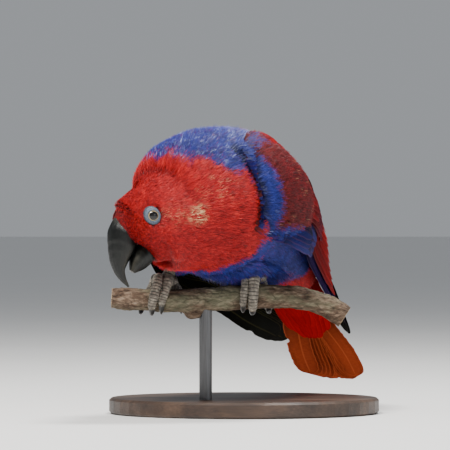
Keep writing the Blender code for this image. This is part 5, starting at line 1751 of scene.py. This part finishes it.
SKIN = skin_look()
COAT = coat_look("coat_strands", 0.56)
WING_LOOK = feather_look("wing_vanes", (0.0012, 0.0012, 0.0006), (0.0065, 0.0065, 0.0034),
                         (0.050, 0.045, 0.014))
TAIL_LOOK = feather_look("tail_vanes", (0.170, 0.0220, 0.0065), (0.520, 0.0800, 0.0220),
                         (0.620, 0.1200, 0.0350))
COVER_LOOK = feather_look("tail_covert_vanes", (0.250, 0.0015, 0.0025), (0.560, 0.0060, 0.0060),
                          (0.620, 0.0180, 0.0120))

skin_piece(SKIN)
HORN = bill_look()
bill_piece("bill_sheath_upper", UPPER_BILL, HORN, "bill_upper")
bill_piece("bill_sheath_lower", LOWER_BILL, HORN, "bill_lower", lower=True)
EYE, LID = eye_look(), lid_look()
for hand_side in HANDS:
    eye_piece(hand_side, EYE)
    lid_piece(hand_side, LID)

# Hood, body and belly: ends along the spine and count of tufts
for part, (low, high) in enumerate(((0.140, 0.172), (0.172, 0.193),
                                    (0.193, BODY_LENGTH - 0.0006))):
    coat_piece("coat_hood_%d" % part, COAT, "red_feathers", 9500, (low, high), 20 + part,
               hood_length, 0.0012, hood_lift, 6,
               lambda s, a: 0.00036 - 0.00013 * smooth((s - 0.195) / 0.015), stray=0.19)
for part, (low, high, amount, slot) in enumerate((
        (0.100, 0.150, 6000, "blue_feathers"), (0.050, 0.100, 4500, "blue_feathers"),
        (0.001, 0.050, 3000, "red_feathers"))):
    coat_piece("coat_body_%d" % part, COAT, slot, amount, (low, high), 30 + part,
               body_length_of, 0.0030, body_lift, 10, 0.00040, stray=0.28, curl=0.12)
coat_piece("coat_belly", COAT, "blue_feathers", 2600, (0.080, 0.150), 36, 0.0105, 0.0036,
           lambda s, a: 0.0072 - 0.0030 * smooth((s - 0.120) / 0.03), 10, 0.00042,
           turn_range=(-2.25, -0.95), stray=0.18)
for hand_side in HANDS:
    thigh_coat(hand_side, COAT)
    wing_pieces(hand_side, WING_LOOK, SKIN, COAT)
tail_pieces(TAIL_LOOK, COVER_LOOK, SKIN)

FOOT, CLAW = foot_look(), claw_look()
for hand_side in HANDS:
    foot_pieces(hand_side, FOOT, CLAW)
branch_piece(bark_look(), sawn_look())
dress_stand()


# Floor, light and camera

FLOOR_RADII = (0.02, 0.2, 0.6, 2.0, 8.0, 40.0)
LIGHT_TARGET = (0.0, 0.0, 0.12)
# Lights: name, place, size, power, colour
LIGHTS = (
    ("key_light", (-0.45, -0.95, 1.45), 0.28, 52.0, (1.0, 0.97, 0.92)),
    ("top_light", (0.35, 0.25, 1.50), 0.40, 26.0, (1.0, 0.98, 0.95)),
    ("fill_light", (1.30, -1.40, 0.60), 1.00, 6.0, (0.92, 0.96, 1.0)),
)
WORLD_COLOUR, WORLD_STRENGTH = (0.86, 0.90, 0.95, 1.0), 0.38
SENSOR = 36.0
CAMERA_DISTANCE, CAMERA_HEIGHT, VIEW_WIDTH = 2.6, 0.1185, 0.279


def floor_piece():
    w = ring_turns(128)
    grid = stacked(np.cos(w), np.sin(w), 0.0)[None] * np.array(FLOOR_RADII)[:, None, None]
    points, quads, caps = closed_tube(grid)
    mesh = mesh_from("floor", points, [quads[:, ::-1], caps[:128, ::-1]], smooth_faces=False)
    mesh.materials.append(floor_look())
    made = new_object("floor", mesh, ridden=False)


def soft_light(name, place, size, power, colour):
    data = bpy.data.lights.new(name, "AREA")
    data.shape = "DISK"
    data.size = size
    data.energy = power
    data.color = colour
    made = bpy.data.objects.new(name, data)
    made.location = place
    way = Vector(LIGHT_TARGET) - Vector(place)
    made.rotation_euler = way.to_track_quat("-Z", "Y").to_euler()
    bpy.context.scene.collection.objects.link(made)


def light_and_camera():
    world = bpy.data.worlds.new("pale_world")
    world.use_nodes = True
    background = world.node_tree.nodes["Background"].inputs
    background["Color"].default_value = WORLD_COLOUR
    background["Strength"].default_value = WORLD_STRENGTH
    bpy.context.scene.world = world
    for light in LIGHTS:
        soft_light(*light)
    data = bpy.data.cameras.new("photo_camera")
    data.sensor_width = SENSOR
    data.lens = SENSOR * CAMERA_DISTANCE / VIEW_WIDTH
    data.clip_start = 0.05
    camera = bpy.data.objects.new("photo_camera", data)
    camera.location = (PERCH[0], PERCH[1] - CAMERA_DISTANCE, CAMERA_HEIGHT)
    camera.rotation_euler = (math.pi / 2.0, 0.0, 0.0)
    bpy.context.scene.collection.objects.link(camera)
    bpy.context.scene.camera = camera


floor_piece()
light_and_camera()
